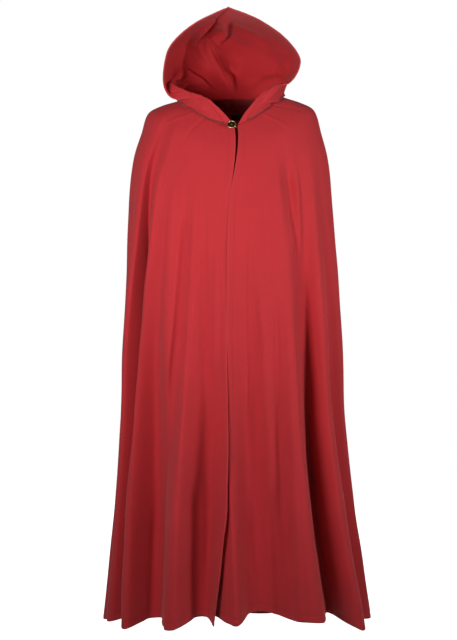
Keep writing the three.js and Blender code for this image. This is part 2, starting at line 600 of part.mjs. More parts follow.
// The loop leaves the cut edge of the left front, passes round the shank and goes back.
function loopGeometry(at) {
  const edge = grids.front_left.points[0];
  const edgeOut = grids.front_left.normals[0];
  const root = (below) => {
    const k = stepsWithin(edge, below);
    const inside = edgeOut[Math.round(k)].clone().multiplyScalar(-CLOTH);
    return edge[0].clone().lerp(edge[1], k).add(inside).addScaledVector(at.across, -LOOP.clear);
  };
  const near = ([x, up]) => {
    const over = at.foot.clone().addScaledVector(at.out, LOOP.high);
    return over.addScaledVector(at.across, x).addScaledVector(at.up, up);
  };
  const reach = BUTTON.radius * 0.8;
  const round = SHANK.radius + LOOP.radius + LOOP.slack;
  const aroundShank = [
    [reach, round * 0.9],
    [round * 0.6, round],
    [-round * 0.7, round * 0.8],
    [-round * 1.15, 0],
    [-round * 0.7, -round * 0.8],
    [round * 0.6, -round],
    [reach, -round * 1.3],
  ];
  const points = [root(LOOP.from), ...aroundShank.map(near), root(LOOP.to)];
  const section = new THREE.Shape();
  section.absarc(0, 0, LOOP.radius, 0, 2 * Math.PI);
  return new THREE.ExtrudeGeometry(new THREE.Shape(section.getPoints(LOOP.sides).slice(0, -1)), {
    steps: LOOP.steps,
    extrudePath: new THREE.CatmullRomCurve3(points, false, "centripetal"),
    bevelEnabled: false,
  });
}
add("button_loop", loopGeometry(buttonAt), "cord");

export default cape;
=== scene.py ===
"""The looks of a hooded medieval cape, filled out as worn, with nobody in it.

The tables and sizes are in millimetres in the cape's own frame: +Z is up, -Y is the front and -X is the
wearer's right. Blender's meshes are in metres.
"""
import logging
import math
from dataclasses import dataclass, fields, replace
from enum import Enum
from typing import Sequence

import bpy
import numpy as np
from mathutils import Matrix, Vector


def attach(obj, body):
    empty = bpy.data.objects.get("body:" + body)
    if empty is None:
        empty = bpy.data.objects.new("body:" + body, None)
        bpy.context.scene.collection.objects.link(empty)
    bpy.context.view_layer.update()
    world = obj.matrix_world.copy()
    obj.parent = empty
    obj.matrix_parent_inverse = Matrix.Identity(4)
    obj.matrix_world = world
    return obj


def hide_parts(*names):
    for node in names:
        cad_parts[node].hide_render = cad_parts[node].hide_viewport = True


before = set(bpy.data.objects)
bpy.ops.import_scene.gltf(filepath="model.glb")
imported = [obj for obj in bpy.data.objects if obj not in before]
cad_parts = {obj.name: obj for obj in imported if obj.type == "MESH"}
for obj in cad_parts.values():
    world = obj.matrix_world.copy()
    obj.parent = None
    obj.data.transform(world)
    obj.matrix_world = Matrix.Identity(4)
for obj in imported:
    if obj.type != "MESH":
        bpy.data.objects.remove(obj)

log = logging.getLogger("cape")
Array = np.ndarray
Node = bpy.types.Node
Socket = bpy.types.NodeSocket

MM = 0.001  # metres in a millimetre
DEG = math.pi / 180

# The cloth and the seams
CLOTH = 1.6  # thickness of the heavy cotton
BODY_LENGTH = 1290.0  # down the body from the neck seam to the hem
DEGREE_WIDE = 4.5  # how far a degree of bearing goes round the body
HOOD_AROUND = 340.0  # from the opening edge to the centre seam
HOOD_UP = 260.0  # from the neck seam to the ridge


class Side(Enum):
    """The wearer's right or left; the value is the sign of X there."""

    RIGHT = -1
    LEFT = 1

    @property
    def word(self) -> str:
        """The side's name, as the pieces are named."""
        return self.name.lower()


def clamp01(x: Array) -> Array:
    """Limits numbers to between 0 and 1."""
    return np.clip(x, 0.0, 1.0)


def smooth(x: Array) -> Array:
    """Eases from 0 to 1 as x does."""
    x = clamp01(x)
    return x * x * (3 - 2 * x)


def mix(a: Array, b: Array, t: Array) -> Array:
    """Goes from a to b as t goes from 0 to 1."""
    return a + (b - a) * t


def bell(s: Array) -> Array:
    """A round hump that is 1 at 0 and dies at -1 and 1."""
    return np.where(np.abs(s) < 1, 0.5 + 0.5 * np.cos(np.pi * np.clip(s, -1, 1)), 0.0)


def hump(s: Array) -> Array:
    """A soft hump that is 1 at 0 and has all but died at -2 and 2."""
    return np.exp(-(s**2))


def turn(degrees: Array) -> Array:
    """The shortest way round for an angle in degrees."""
    return (degrees + 180) % 360 - 180


def unit(v: Array) -> Array:
    """Vectors of length 1 along the last axis."""
    return v / np.maximum(np.linalg.norm(v, axis=-1, keepdims=True), 1e-9)


def gone_along(line: Array) -> Array:
    """How far along a line each of its points lies."""
    return np.concatenate([[0], np.linalg.norm(np.diff(line, axis=0), axis=-1).cumsum()])


def read_along(at: Array, knots: Array, values: Array) -> Array:
    """Reads rows of vectors between their knots."""
    return np.stack([np.interp(at, knots, values[:, k]) for k in range(3)], -1)


def cubic(ats: Array, values: Array, at: Array) -> Array:
    """Reads rows of values by a smooth cubic.

    Args:
        ats: where the rows are, rising.
        values: one number for each row, or for each row an array of points that follow at.
        at: where to read.

    Returns:
        The values at each of at.
    """
    i = np.searchsorted(ats[1:-1], at, side="left")
    low, high = np.maximum(i - 1, 0), np.minimum(i + 2, len(ats) - 1)
    span = ats[i + 1] - ats[i]
    t = (at - ats[i]) / span
    rise_a = span / (ats[i + 1] - ats[low])
    rise_b = span / (ats[high] - ats[i])
    if values.ndim > 1:
        rows = [np.take_along_axis(values, k[None, ..., None], 0)[0] for k in (low, i, i + 1, high)]
        t, rise_a, rise_b = (x[..., None] for x in (t, rise_a, rise_b))
    else:
        rows = [values[k] for k in (low, i, i + 1, high)]
    before, a, b, after = rows
    slope_a, slope_b = (b - before) * rise_a, (after - a) * rise_b
    t2, t3 = t * t, t * t * t
    near = (2 * t3 - 3 * t2 + 1) * a + (t3 - 2 * t2 + t) * slope_a
    return near + (3 * t2 - 2 * t3) * b + (t3 - t2) * slope_b


class Table:
    """Rows of named columns, read between its rows."""

    def __init__(self, rows: Sequence[object]) -> None:
        """Keeps each column as numbers."""
        self.columns = {f.name: np.array([getattr(r, f.name) for r in rows], float) for f in fields(rows[0])}

    def read(self, column: str, at: Array) -> Array:
        """Reads one column at shares of the way."""
        return cubic(self.columns["at"], self.columns[column], at)

    def read_side(self, negative: str, positive: str, sign: Array, at: Array) -> Array:
        """Reads the negative column where sign is below 0, and else the positive one."""
        return np.where(sign < 0, self.read(negative, at), self.read(positive, at))


@dataclass(frozen=True)
class Ring:
    """A ring of the body: half widths, depths, and how far left of the middle the opening lies."""

    at: float
    right: float
    left: float
    front: float
    back: float
    edge: float


@dataclass(frozen=True)
class Height:
    """The heights of a ring at its front, sides and back."""

    at: float
    front: float
    right: float
    left: float
    back: float


RINGS = Table([
    Ring(at=0.0, right=134, left=132, front=97, back=90, edge=12),
    Ring(at=0.03, right=176, left=176, front=113, back=126, edge=14),
    Ring(at=0.06, right=208, left=209, front=127, back=148, edge=13),
    Ring(at=0.1, right=224, left=226, front=140, back=152, edge=7),
    Ring(at=0.15, right=242, left=240, front=150, back=147, edge=-3),
    Ring(at=0.22, right=250, left=250, front=160, back=148, edge=-8),
    Ring(at=0.35, right=256, left=260, front=172, back=160, edge=-9),
    Ring(at=0.5, right=262, left=267, front=184, back=176, edge=-9),
    Ring(at=0.65, right=264, left=272, front=196, back=194, edge=-8),
    Ring(at=0.8, right=275, left=288, front=212, back=218, edge=-16),
    Ring(at=0.9, right=286, left=306, front=226, back=236, edge=-28),
    Ring(at=1.0, right=297, left=325, front=240, back=252, edge=-42),
])
HEIGHTS = Table([
    Height(at=0.0, front=-76, right=-5, left=5, back=16),
    Height(at=0.03, front=-107, right=-18, left=-9, back=5),
    Height(at=0.06, front=-141, right=-36, left=-29, back=-16),
    Height(at=0.1, front=-190, right=-84, left=-84, back=-86),
    Height(at=0.15, front=-248, right=-145, left=-145, back=-158),
    Height(at=0.22, front=-328, right=-238, left=-238, back=-262),
    Height(at=0.35, front=-476, right=-408, left=-408, back=-438),
    Height(at=0.5, front=-648, right=-604, left=-604, back=-642),
    Height(at=0.65, front=-820, right=-802, left=-802, back=-846),
    Height(at=0.8, front=-1000, right=-1008, left=-1008, back=-1056),
    Height(at=0.9, front=-1126, right=-1150, left=-1150, back=-1196),
    Height(at=1.0, front=-1250, right=-1290, left=-1290, back=-1336),
])


@dataclass(frozen=True)
class Fold:
    """A fold that falls from the shoulders.

    top, mid and hem are its bearings from the front, + to the wearer's left, and wide is half its width, in
    degrees. start, full and till are shares of the way down. depth is how far it stands out, lean how far its
    lip is pushed round and drop how far it lowers the hem.
    """

    top: float
    mid: float
    hem: float
    wide: float
    start: float
    depth: float
    lean: float = 0
    drop: float = 0
    full: float = 1
    till: float = 2


FOLDS = (
    # The wearer's right front, from the arm to the opening
    Fold(top=-57, mid=-69, hem=-76, wide=8, start=0.03, full=0.4, depth=27, lean=14, drop=2),
    Fold(top=-46, mid=-60, hem=-65, wide=7, start=0.02, full=0.35, depth=-52, lean=-14, drop=-8),
    Fold(top=-36, mid=-53, hem=-52, wide=8, start=0.06, full=0.8, depth=32, lean=-12, drop=14),
    Fold(top=-44, mid=-45, hem=-39, wide=11, start=0.3, full=0.85, depth=-58, drop=2),
    Fold(top=-32, mid=-35, hem=-50, wide=7, start=0.1, full=0.45, till=0.82, depth=12),
    Fold(top=-25, mid=-27, hem=-40, wide=7, start=0.1, full=0.45, till=1.2, depth=-14),
    Fold(top=-19, mid=-21, hem=-25, wide=13, start=0.14, full=0.8, depth=46, lean=-14, drop=13),
    Fold(top=-14, mid=-13, hem=-12, wide=11, start=0.15, full=0.8, depth=-58, drop=-6),
    Fold(top=-7, mid=-9, hem=-6, wide=5, start=0.15, full=0.5, depth=8),
    # The wearer's left front, from the opening to the arm
    Fold(top=3, mid=1, hem=1, wide=8, start=0.5, depth=26, lean=8, drop=6),
    Fold(top=8, mid=10, hem=14, wide=13, start=0.2, full=0.85, depth=-56, lean=-6, drop=-14),
    Fold(top=16, mid=19, hem=18, wide=6, start=0.2, full=0.6, till=0.95, depth=10),
    Fold(top=22, mid=25, hem=25, wide=6, start=0.3, full=0.8, depth=-16),
    Fold(top=26, mid=33, hem=37, wide=11, start=0.12, full=0.8, depth=40, drop=-5),
    Fold(top=34, mid=36, hem=37, wide=6, start=0.08, full=0.15, till=0.3, depth=-12),
    Fold(top=42, mid=46, hem=53, wide=12, start=0.08, full=0.75, depth=-74, drop=-10),
    Fold(top=52, mid=57, hem=68, wide=10, start=0.06, full=0.9, depth=38, lean=-24, drop=16),
    Fold(top=62, mid=68, hem=84, wide=8, start=0.08, full=0.9, depth=-26, drop=-2),
    # Round the back, from the wearer's left to the right
    Fold(top=80, mid=84, hem=89, wide=11, start=0.1, depth=28, drop=6),
    Fold(top=97, mid=100, hem=103, wide=11, start=0.12, depth=-36, drop=-6),
    Fold(top=112, mid=116, hem=119, wide=12, start=0.1, depth=42, lean=12, drop=6),
    Fold(top=128, mid=132, hem=134, wide=11, start=0.12, full=0.85, depth=-46, drop=-8),
    Fold(top=146, mid=147, hem=150, wide=12, start=0.16, depth=42, lean=-12, drop=6),
    Fold(top=163, mid=164, hem=165, wide=10, start=0.24, depth=-36, drop=-6),
    Fold(top=181, mid=179, hem=180, wide=12, start=0.18, depth=36, lean=10, drop=6),
    Fold(top=198, mid=196, hem=196, wide=11, start=0.2, full=0.85, depth=-42, drop=-8),
    Fold(top=215, mid=213, hem=212, wide=12, start=0.14, depth=44, lean=14, drop=8),
    Fold(top=232, mid=230, hem=228, wide=11, start=0.1, full=0.85, depth=-42, drop=-6),
    Fold(top=249, mid=246, hem=243, wide=12, start=0.1, depth=40, lean=-10, drop=6),
    Fold(top=265, mid=262, hem=258, wide=10, start=0.12, depth=-34, drop=-6),
    Fold(top=279, mid=276, hem=272, wide=9, start=0.1, depth=22, drop=4),
)


class Lip(Enum):
    """How a crease rises on its two sides: as shares of its width on the left and right of its line."""

    EVEN = (1.0, 1.0)
    SHARP_LEFT = (0.3, 1.0)
    SHARP_RIGHT = (1.0, 0.3)


@dataclass(frozen=True)
class Crease:
    """A small trough or ridge drawn on the cloth, from start round bend to end.

    The three places are in the form's own two coordinates. wide is half its width and depth how far it stands
    out of the cape, in millimetres. An end that runs into a seam or an edge doesn't die away.
    """

    start: tuple[float, float]
    bend: tuple[float, float]
    end: tuple[float, float]
    wide: float
    depth: float
    lip: Lip = Lip.EVEN
    runs_in: bool = False
    runs_out: bool = False


@dataclass(frozen=True)
class Relief:
    """What a set of creases adds to a form.

    scale is how many millimetres one step of each coordinate is.
    """

    creases: tuple[Crease, ...]
    scale: tuple[float, float]
    segments: int = 14
    fade: float = 0.3

    def at(self, first: Array, second: Array) -> Array:
        """How far the creases stand out at each place.

        Args:
            first: the form's first coordinate.
            second: its second coordinate.

        Returns:
            Millimetres out of the cape, in the shape of first.
        """
        here = np.stack([first * self.scale[0], second * self.scale[1]], -1)
        total = np.zeros(first.shape)
        for crease in self.creases:
            total += self._one(crease, here)
        return total

    def _one(self, crease: Crease, here: Array) -> Array:
        """What one crease adds.

        Args:
            crease: the crease.
            here: the places, in millimetres.

        Returns:
            Millimetres out of the cape.
        """
        scale = np.array(self.scale)
        t = np.linspace(0, 1, self.segments + 1)[:, None]
        start, bend, end = (np.array(p) * scale for p in (crease.start, crease.bend, crease.end))
        line = (1 - t) ** 2 * start + 2 * t * (1 - t) * bend + t**2 * end
        best = np.full(here.shape[:-1], 1e9)
        along = np.zeros(here.shape[:-1])
        across = np.zeros(here.shape[:-1])
        for k in range(self.segments):
            step = line[k + 1] - line[k]
            off = here - line[k]
            share = clamp01((off @ step) / (step @ step))
            gap = np.linalg.norm(off - share[..., None] * step, axis=-1)
            nearer = gap < best
            best = np.where(nearer, gap, best)
            along = np.where(nearer, (k + share) / self.segments, along)
            across = np.where(nearer, step[0] * off[..., 1] - step[1] * off[..., 0], across)
        wide = crease.wide * np.where(across > 0, crease.lip.value[0], crease.lip.value[1])
        ends = np.ones(along.shape)
        if not crease.runs_in:
            ends = ends * smooth(along / self.fade)
        if not crease.runs_out:
            ends = ends * smooth((1 - along) / self.fade)
        return crease.depth * bell(best / wide) * ends


@dataclass(frozen=True)
class Unevenness:
    """Soft, low waves that no cloth is without, from a few crossed ripples of one length in space."""

    length: float
    height: float
    seed: int
    ripples: int = 7

    def at(self, points: Array) -> Array:
        """The waves' height, in millimetres, at points in millimetres."""
        rng = np.random.default_rng(self.seed)
        total = np.zeros(points.shape[:-1])
        for _ in range(self.ripples):
            way = unit(rng.normal(size=3)) * 2 * np.pi / (self.length * rng.uniform(0.7, 1.5))
            total += np.sin(points @ way + rng.uniform(0, 2 * np.pi))
        return total * self.height / math.sqrt(self.ripples)


# Small creases of the body. A place is a bearing in degrees and a share of the way down.
BODY_CREASES = Relief(
    scale=(DEGREE_WIDE, BODY_LENGTH),
    creases=(
        # Soft creases that fall from the chest, the right front first
        Crease((-47, 0.1), (-45, 0.24), (-55, 0.46), wide=20, depth=5, lip=Lip.SHARP_LEFT),
        Crease((-35, 0.13), (-36, 0.3), (-39, 0.6), wide=22, depth=4),
        Crease((-26, 0.12), (-26, 0.36), (-36, 0.66), wide=14, depth=-4),
        Crease((-20, 0.13), (-21, 0.36), (-22, 0.6), wide=15, depth=4, lip=Lip.SHARP_RIGHT),
        Crease((-15, 0.16), (-14, 0.38), (-13, 0.62), wide=13, depth=-4),
        Crease((-7, 0.2), (-9, 0.4), (-8, 0.62), wide=13, depth=3),
        Crease((10, 0.22), (9, 0.4), (11, 0.66), wide=16, depth=-4, lip=Lip.SHARP_LEFT),
        Crease((13, 0.3), (19, 0.44), (18, 0.74), wide=13, depth=3),
        Crease((24, 0.34), (24, 0.52), (25, 0.8), wide=11, depth=-3),
        Crease((36, 0.12), (37, 0.2), (40, 0.34), wide=13, depth=-5),
        Crease((42, 0.12), (41, 0.22), (42, 0.32), wide=12, depth=4),
        # Low down, where the cloth opens out
        Crease((-46, 0.78), (-44, 0.9), (-43, 1.0), wide=13, depth=-5, runs_out=True),
        Crease((-32, 0.8), (-31, 0.9), (-30, 1.0), wide=12, depth=-4, runs_out=True),
        Crease((-16, 0.72), (-16, 0.86), (-15, 1.0), wide=13, depth=-6, runs_out=True),
        Crease((-3, 0.74), (-2, 0.86), (-2, 1.0), wide=9, depth=-4, runs_out=True),
        Crease((20, 0.76), (21, 0.88), (21, 1.0), wide=15, depth=-5, runs_out=True),
        Crease((30, 0.7), (30, 0.86), (29, 1.0), wide=14, depth=5, runs_out=True),
        Crease((44, 0.74), (45, 0.86), (45, 1.0), wide=15, depth=-6, lip=Lip.SHARP_LEFT, runs_out=True),
        # The same soft creases round the sides and the back
        Crease((90, 0.14), (91, 0.4), (93, 0.72), wide=18, depth=-5),
        Crease((107, 0.12), (108, 0.34), (110, 0.62), wide=16, depth=4, lip=Lip.SHARP_RIGHT),
        Crease((123, 0.16), (124, 0.42), (126, 0.76), wide=16, depth=-4),
        Crease((138, 0.14), (139, 0.36), (141, 0.68), wide=17, depth=4),
        Crease((155, 0.2), (155, 0.46), (157, 0.8), wide=15, depth=-4, lip=Lip.SHARP_LEFT),
        Crease((172, 0.26), (171, 0.5), (171, 0.84), wide=14, depth=3),
        Crease((188, 0.18), (188, 0.4), (187, 0.7), wide=15, depth=-4),
        Crease((206, 0.16), (206, 0.44), (204, 0.78), wide=16, depth=4, lip=Lip.SHARP_LEFT),
        Crease((223, 0.14), (222, 0.36), (221, 0.66), wide=17, depth=-5),
        Crease((240, 0.12), (239, 0.38), (237, 0.74), wide=16, depth=4),
        Crease((256, 0.14), (254, 0.36), (252, 0.64), wide=16, depth=-4, lip=Lip.SHARP_RIGHT),
        Crease((-88, 0.14), (-90, 0.4), (-93, 0.76), wide=16, depth=4),
        Crease((148, 0.8), (147, 0.9), (147, 1.0), wide=14, depth=-5, runs_out=True),
        Crease((184, 0.76), (185, 0.88), (185, 1.0), wide=13, depth=-5, runs_out=True),
        Crease((210, 0.78), (209, 0.9), (209, 1.0), wide=14, depth=5, runs_out=True),
        Crease((248, 0.8), (246, 0.9), (245, 1.0), wide=14, depth=-5, runs_out=True),
        # Soft puckers that fan out from the neck seam
        Crease((-62, 0.0), (-66, 0.03), (-74, 0.06), wide=9, depth=-1.6, runs_in=True),
        Crease((-40, 0.0), (-44, 0.03), (-52, 0.07), wide=10, depth=1.4, runs_in=True),
        Crease((-28, 0.0), (-30, 0.03), (-33, 0.08), wide=9, depth=-1.2, runs_in=True),
        Crease((34, 0.0), (37, 0.03), (44, 0.07), wide=10, depth=1.4, runs_in=True),
        Crease((50, 0.0), (56, 0.03), (66, 0.06), wide=9, depth=-1.5, runs_in=True),
        Crease((150, 0.0), (148, 0.03), (144, 0.09), wide=12, depth=-1.8, runs_in=True),
        Crease((205, 0.0), (208, 0.03), (214, 0.08), wide=12, depth=-1.8, runs_in=True),
        Crease((178, 0.0), (176, 0.04), (172, 0.1), wide=10, depth=1.6, runs_in=True),
    ),
)

# Small creases of the hood. A place is around (-1 right edge, 0 centre seam, +1 left edge) and up.
HOOD_CREASES = Relief(
    scale=(HOOD_AROUND, HOOD_UP),
    creases=(
        # The ridge along the centre seam, and the steep flank on its left
        Crease((-0.01, 0.05), (-0.05, 0.5), (-0.02, 0.96), wide=40, depth=-15, lip=Lip.SHARP_RIGHT),
        Crease((0.03, 0.86), (0.05, 0.62), (0.04, 0.34), wide=26, depth=14),
        Crease((0.035, 0.42), (0.02, 0.24), (0.0, 0.05), wide=11, depth=7),
        # The long crease that falls from the peak, and the roll beside it
        Crease((0.8, 0.97), (0.1, 1.0), (0.05, 0.72), wide=9, depth=11, lip=Lip.SHARP_LEFT),
        Crease((0.3, 0.93), (0.02, 0.94), (0.01, 0.78), wide=12, depth=-5),
        # The left wall: the roll from the top to the foot of the ridge, and soft hollows on both its sides
        Crease((0.56, 0.92), (0.2, 0.78), (0.1, 0.42), wide=48, depth=-7),
        Crease((0.34, 0.66), (0.24, 0.44), (0.12, 0.16), wide=50, depth=10),
        Crease((0.62, 0.78), (0.52, 0.56), (0.5, 0.36), wide=38, depth=6),
        Crease((0.44, 0.34), (0.28, 0.26), (0.1, 0.08), wide=22, depth=8),
        # The right wall: hollows under the top and along the edge, and the lit roll between them
        Crease((-0.56, 0.97), (-0.24, 0.93), (-0.18, 0.7), wide=26, depth=14),
        Crease((-0.3, 0.8), (-0.46, 0.6), (-0.5, 0.2), wide=44, depth=15),
        Crease((-0.36, 0.56), (-0.22, 0.36), (-0.09, 0.1), wide=28, depth=13, lip=Lip.SHARP_LEFT),
        Crease((-0.24, 0.8), (-0.16, 0.56), (-0.06, 0.24), wide=26, depth=-7),
        # Where it folds down over the right shoulder
        Crease((-0.46, 0.09), (-0.36, 0.15), (-0.25, 0.22), wide=13, depth=8),
        Crease((-0.3, 0.12), (-0.21, 0.25), (-0.13, 0.1), wide=8, depth=-5),
        Crease((-0.24, 0.14), (-0.18, 0.08), (-0.13, 0.01), wide=5, depth=4, runs_out=True),
        Crease((-0.66, 0.01), (-0.79, 0.03), (-0.92, 0.09), wide=8, depth=-5, runs_in=True),
        Crease((-0.74, 0.01), (-0.84, 0.06), (-0.95, 0.15), wide=7, depth=4.5, runs_in=True),
        Crease((-0.56, 0.06), (-0.7, 0.1), (-0.86, 0.22), wide=9, depth=5),
        Crease((-0.86, 0.22), (-0.9, 0.34), (-0.88, 0.46), wide=10, depth=-3),
        # The collar part of the left half
        Crease((0.62, 0.01), (0.76, 0.04), (0.93, 0.13), wide=8, depth=-5, runs_in=True),
        Crease((0.72, 0.01), (0.84, 0.07), (0.96, 0.17), wide=7, depth=4.5, runs_in=True),
        Crease((0.9, 0.08), (0.88, 0.15), (0.8, 0.2), wide=6, depth=-3),
        Crease((0.54, 0.07), (0.68, 0.12), (0.82, 0.24), wide=9, depth=5),
        # The outside behind the ears
        Crease((-0.3, 0.06), (-0.4, 0.16), (-0.42, 0.3), wide=16, depth=-4),
        Crease((0.3, 0.05), (0.36, 0.16), (0.4, 0.3), wide=16, depth=-4),
    ),
)


@dataclass(frozen=True)
class BodyForm:
    """The body of the cape: rings from the neck seam to the hem, with the folds pushed in and out of them."""

    fall_neck: float = 2.6
    fall_body: float = 1.5
    fall_till: float = 0.3
    growth: float = 1.3
    roundness: float = 0.7
    turn_from: float = 0.75
    sideways: float = 0.35
    curl_out: float = 42
    curl_down: float = 16

    def folds(self, bearing: Array, at: Array) -> tuple[Array, Array, Array]:
        """What the folds add.

        Args:
            bearing: degrees from the front, + to the wearer's left.
            at: shares of the way down.

        Returns:
            How far out, round and down, in millimetres.
        """
        out, around, down = np.zeros(at.shape), np.zeros(at.shape), np.zeros(at.shape)
        for f in FOLDS:
            middle = f.top * (1 - at) * (1 - 2 * at) + f.mid * 4 * at * (1 - at) + f.hem * at * (2 * at - 1)
            grown = clamp01((at - f.start) / (f.full - f.start)) ** self.growth
            ended = smooth((f.till - at) / (f.till - f.full))
            share = bell(turn(bearing - middle) / f.wide) ** self.roundness * grown * ended
            out += f.depth * share
            around += f.lean * share
            down += f.drop * share * at**2
        return out, around, down

    def opening(self, at: Array) -> Array:
        """The bearing of the front opening at shares of the way down."""
        edge = RINGS.read("edge", at)
        return np.arcsin(edge / RINGS.read_side("right", "left", edge, at)) / DEG

    def points(self, bearing: Array, at: Array, curl: Array | float = 0.0) -> Array:
        """Points of the body's outside.

        Args:
            bearing: degrees from the front, + to the wearer's left.
            at: shares of the way down.
            curl: how far the front edge is turned outwards there, as a share.

        Returns:
            Points in millimetres.
        """
        s, c = np.sin(bearing * DEG), np.cos(bearing * DEG)
        half = RINGS.read_side("right", "left", s, at)
        depth = RINGS.read_side("back", "front", c, at)
        z_side = HEIGHTS.read_side("right", "left", s, at)
        z_middle = HEIGHTS.read_side("back", "front", c, at)
        out, around, down = self.folds(bearing, at)
        turned = smooth((np.abs(s) - self.turn_from) / (1 - self.turn_from))
        way = unit(np.stack([mix(self.sideways, 1, turned) * s / half, -c / depth], -1))
        push = out + curl * self.curl_out
        x = half * s + way[..., 0] * push - way[..., 1] * around
        y = -depth * c + way[..., 1] * push + way[..., 0] * around
        fall = mix(self.fall_neck, self.fall_body, smooth(at / self.fall_till))
        z = z_side + (z_middle - z_side) * np.abs(c) ** fall - down - curl * self.curl_down
        return np.stack([x, y, z], -1)


BODY = BodyForm()
SIDE_SEAM = {Side.RIGHT: -101.0, Side.LEFT: 99.0}  # bearings, in degrees


@dataclass(frozen=True)
class Bend:
    """One half of a section of the hood: its opening edge, and the two handles that round it."""

    edge: tuple[float, float, float]
    side: tuple[float, float]
    rear: float


@dataclass(frozen=True)
class HoodRow:
    """A section of the hood: its place on the centre seam, its two halves, and the side handle's height."""

    at: float
    lift: float
    seam: tuple[float, float, float]
    right: Bend
    left: Bend


HOOD_ROWS = (
    HoodRow(at=0.12, lift=0.85, seam=(0, 104, 42),
            right=Bend(edge=(-36, -108, -31), side=(-184, -100), rear=-168),
            left=Bend(edge=(42, -108, -38), side=(176, -98), rear=158)),
    HoodRow(at=0.24, lift=0.75, seam=(-7, 116, 66),
            right=Bend(edge=(-77, -98, -9), side=(-190, -92), rear=-168),
            left=Bend(edge=(86, -97, 6), side=(180, -86), rear=158)),
    HoodRow(at=0.36, lift=0.62, seam=(-18, 124, 90),
            right=Bend(edge=(-134, -72, -9), side=(-180, -42), rear=-164),
            left=Bend(edge=(141, -72, 33), side=(172, -30), rear=156)),
    HoodRow(at=0.5, lift=0.52, seam=(-34, 127, 116),
            right=Bend(edge=(-161, -74, 22), side=(-166, -10), rear=-150),
            left=Bend(edge=(165, -75, 70), side=(165, -10), rear=144)),
    HoodRow(at=0.64, lift=0.45, seam=(-47, 121, 140),
            right=Bend(edge=(-158, -92, 78), side=(-156, -20), rear=-140),
            left=Bend(edge=(160, -92, 97), side=(160, -20), rear=124)),
    HoodRow(at=0.78, lift=0.45, seam=(-57, 107, 164),
            right=Bend(edge=(-138, -108, 121), side=(-138, -40), rear=-125),
            left=Bend(edge=(122, -108, 138), side=(128, -40), rear=98)),
    HoodRow(at=0.9, lift=0.45, seam=(-60, 86, 182),
            right=Bend(edge=(-81, -128, 166), side=(-90, -60), rear=-86),
            left=Bend(edge=(63, -128, 172), side=(72, -60), rear=40)),
    HoodRow(at=1.0, lift=0.45, seam=(-57, 56, 194),
            right=Bend(edge=(-7, -138, 198), side=(-22, -70), rear=-50),
            left=Bend(edge=(-7, -138, 198), side=(-22, -70), rear=-50)),
)


@dataclass(frozen=True)
class Hollow:
    """A broad ridge or hollow of the hood.

    up and around place its middle. tall is half its height, right and left are its widths on those sides, all
    as shares, and inward is how far into the hood it stands.
    """

    up: float
    around: float
    tall: float
    right: float
    left: float
    inward: float


HOLLOWS = (
    Hollow(up=0.52, around=-0.03, tall=0.5, right=0.2, left=0.08, inward=30),
    Hollow(up=0.5, around=0.05, tall=0.42, right=0.08, left=0.16, inward=-18),
    Hollow(up=0.6, around=-0.32, tall=0.4, right=0.22, left=0.2, inward=-12),
    Hollow(up=0.8, around=0.3, tall=0.3, right=0.14, left=0.14, inward=9),
    Hollow(up=0.42, around=-0.5, tall=0.14, right=0.24, left=0.24, inward=9),
)


@dataclass(frozen=True)
class HoodForm:
    """The hood: two halves that meet in the centre seam at the back and in the ridge on top."""

    neck_apart: float = 9.0
    rear_height: float = 0.85
    rear_depth: float = 0.98
    ridge_depth: float = 0.7
    calm: float = 0.12
    corner: float = 0.93

    def neck_bearing(self, side: Side, along: Array) -> Array:
        """The bearing of the neck seam, at shares of the way from the opening edge to the middle behind."""
        ring = RINGS.columns[side.word][0]
        start = BODY.opening(np.array(0.0)) + side.value * self.neck_apart / 2 / (ring * DEG)
        return mix(start, side.value * 180, along)

    def _half(self, side: Side, up: Array, along: Array) -> Array:
        """Points of one half.

        Args:
            side: which half.
            up: shares of the way from the neck seam to the ridge.
            along: shares of the way from the opening edge to the centre seam.

        Returns:
            Points in millimetres.
        """
        values = [BODY.points(self.neck_bearing(side, along), np.zeros(along.shape))]
        t = along[..., None]
        for row in HOOD_ROWS:
            bend = getattr(row, side.word)
            a, d = np.array(bend.edge), np.array(row.seam)
            rise = d[2] - a[2]
            rear = self.ridge_depth if row.at == 1 else self.rear_depth
            b = np.array([*bend.side, a[2] + rise * row.lift])
            c = np.array([bend.rear, mix(a[1], d[1], rear), a[2] + rise * self.rear_height])
            values.append((1 - t) ** 3 * a + 3 * (1 - t) ** 2 * t * b + 3 * (1 - t) * t**2 * c + t**3 * d)
        ats = np.array([0.0] + [row.at for row in HOOD_ROWS])
        return cubic(ats, np.stack(values), up)

    def plain(self, up: Array, around: Array) -> Array:
        """Points of the hood without its ridges and hollows.

        Args:
            up: shares from the neck seam (0) to the ridge (1) and on over it.
            around: from the right opening edge (-1) by the centre seam (0) to the left one (1).

        Returns:
            Points in millimetres.
        """
        over = up > 1
        up, around = np.where(over, 2 - up, up), np.where(over, -around, around)
        along = 1 - np.abs(around)
        right, left = self._half(Side.RIGHT, up, along), self._half(Side.LEFT, up, along)
        return np.where((around < 0)[..., None], right, left)

    def _normals(self, up: Array, around: Array, step: float = 0.004) -> Array:
        """Normals of the plain hood, out of the cape."""
        d_up = self.plain(up + step, around) - self.plain(up - step, around)
        d_around = self.plain(up, around + step) - self.plain(up, around - step)
        return unit(np.cross(d_up, d_around))

    def points(self, up: Array, around: Array) -> Array:
        """Points of the hood's outside, with its broad ridges and hollows; the arguments are as in plain."""
        ends = smooth((1 - up) / self.calm) * smooth(up / self.calm)
        inward = np.zeros(up.shape)
        for h in HOLLOWS:
            off = around - h.around
            across = bell(off / np.where(off < 0, h.right, h.left))
            inward += h.inward * bell((up - h.up) / h.tall) * across * ends
        return self.plain(up, around) - self._normals(up, around) * inward[..., None]


HOOD = HoodForm()


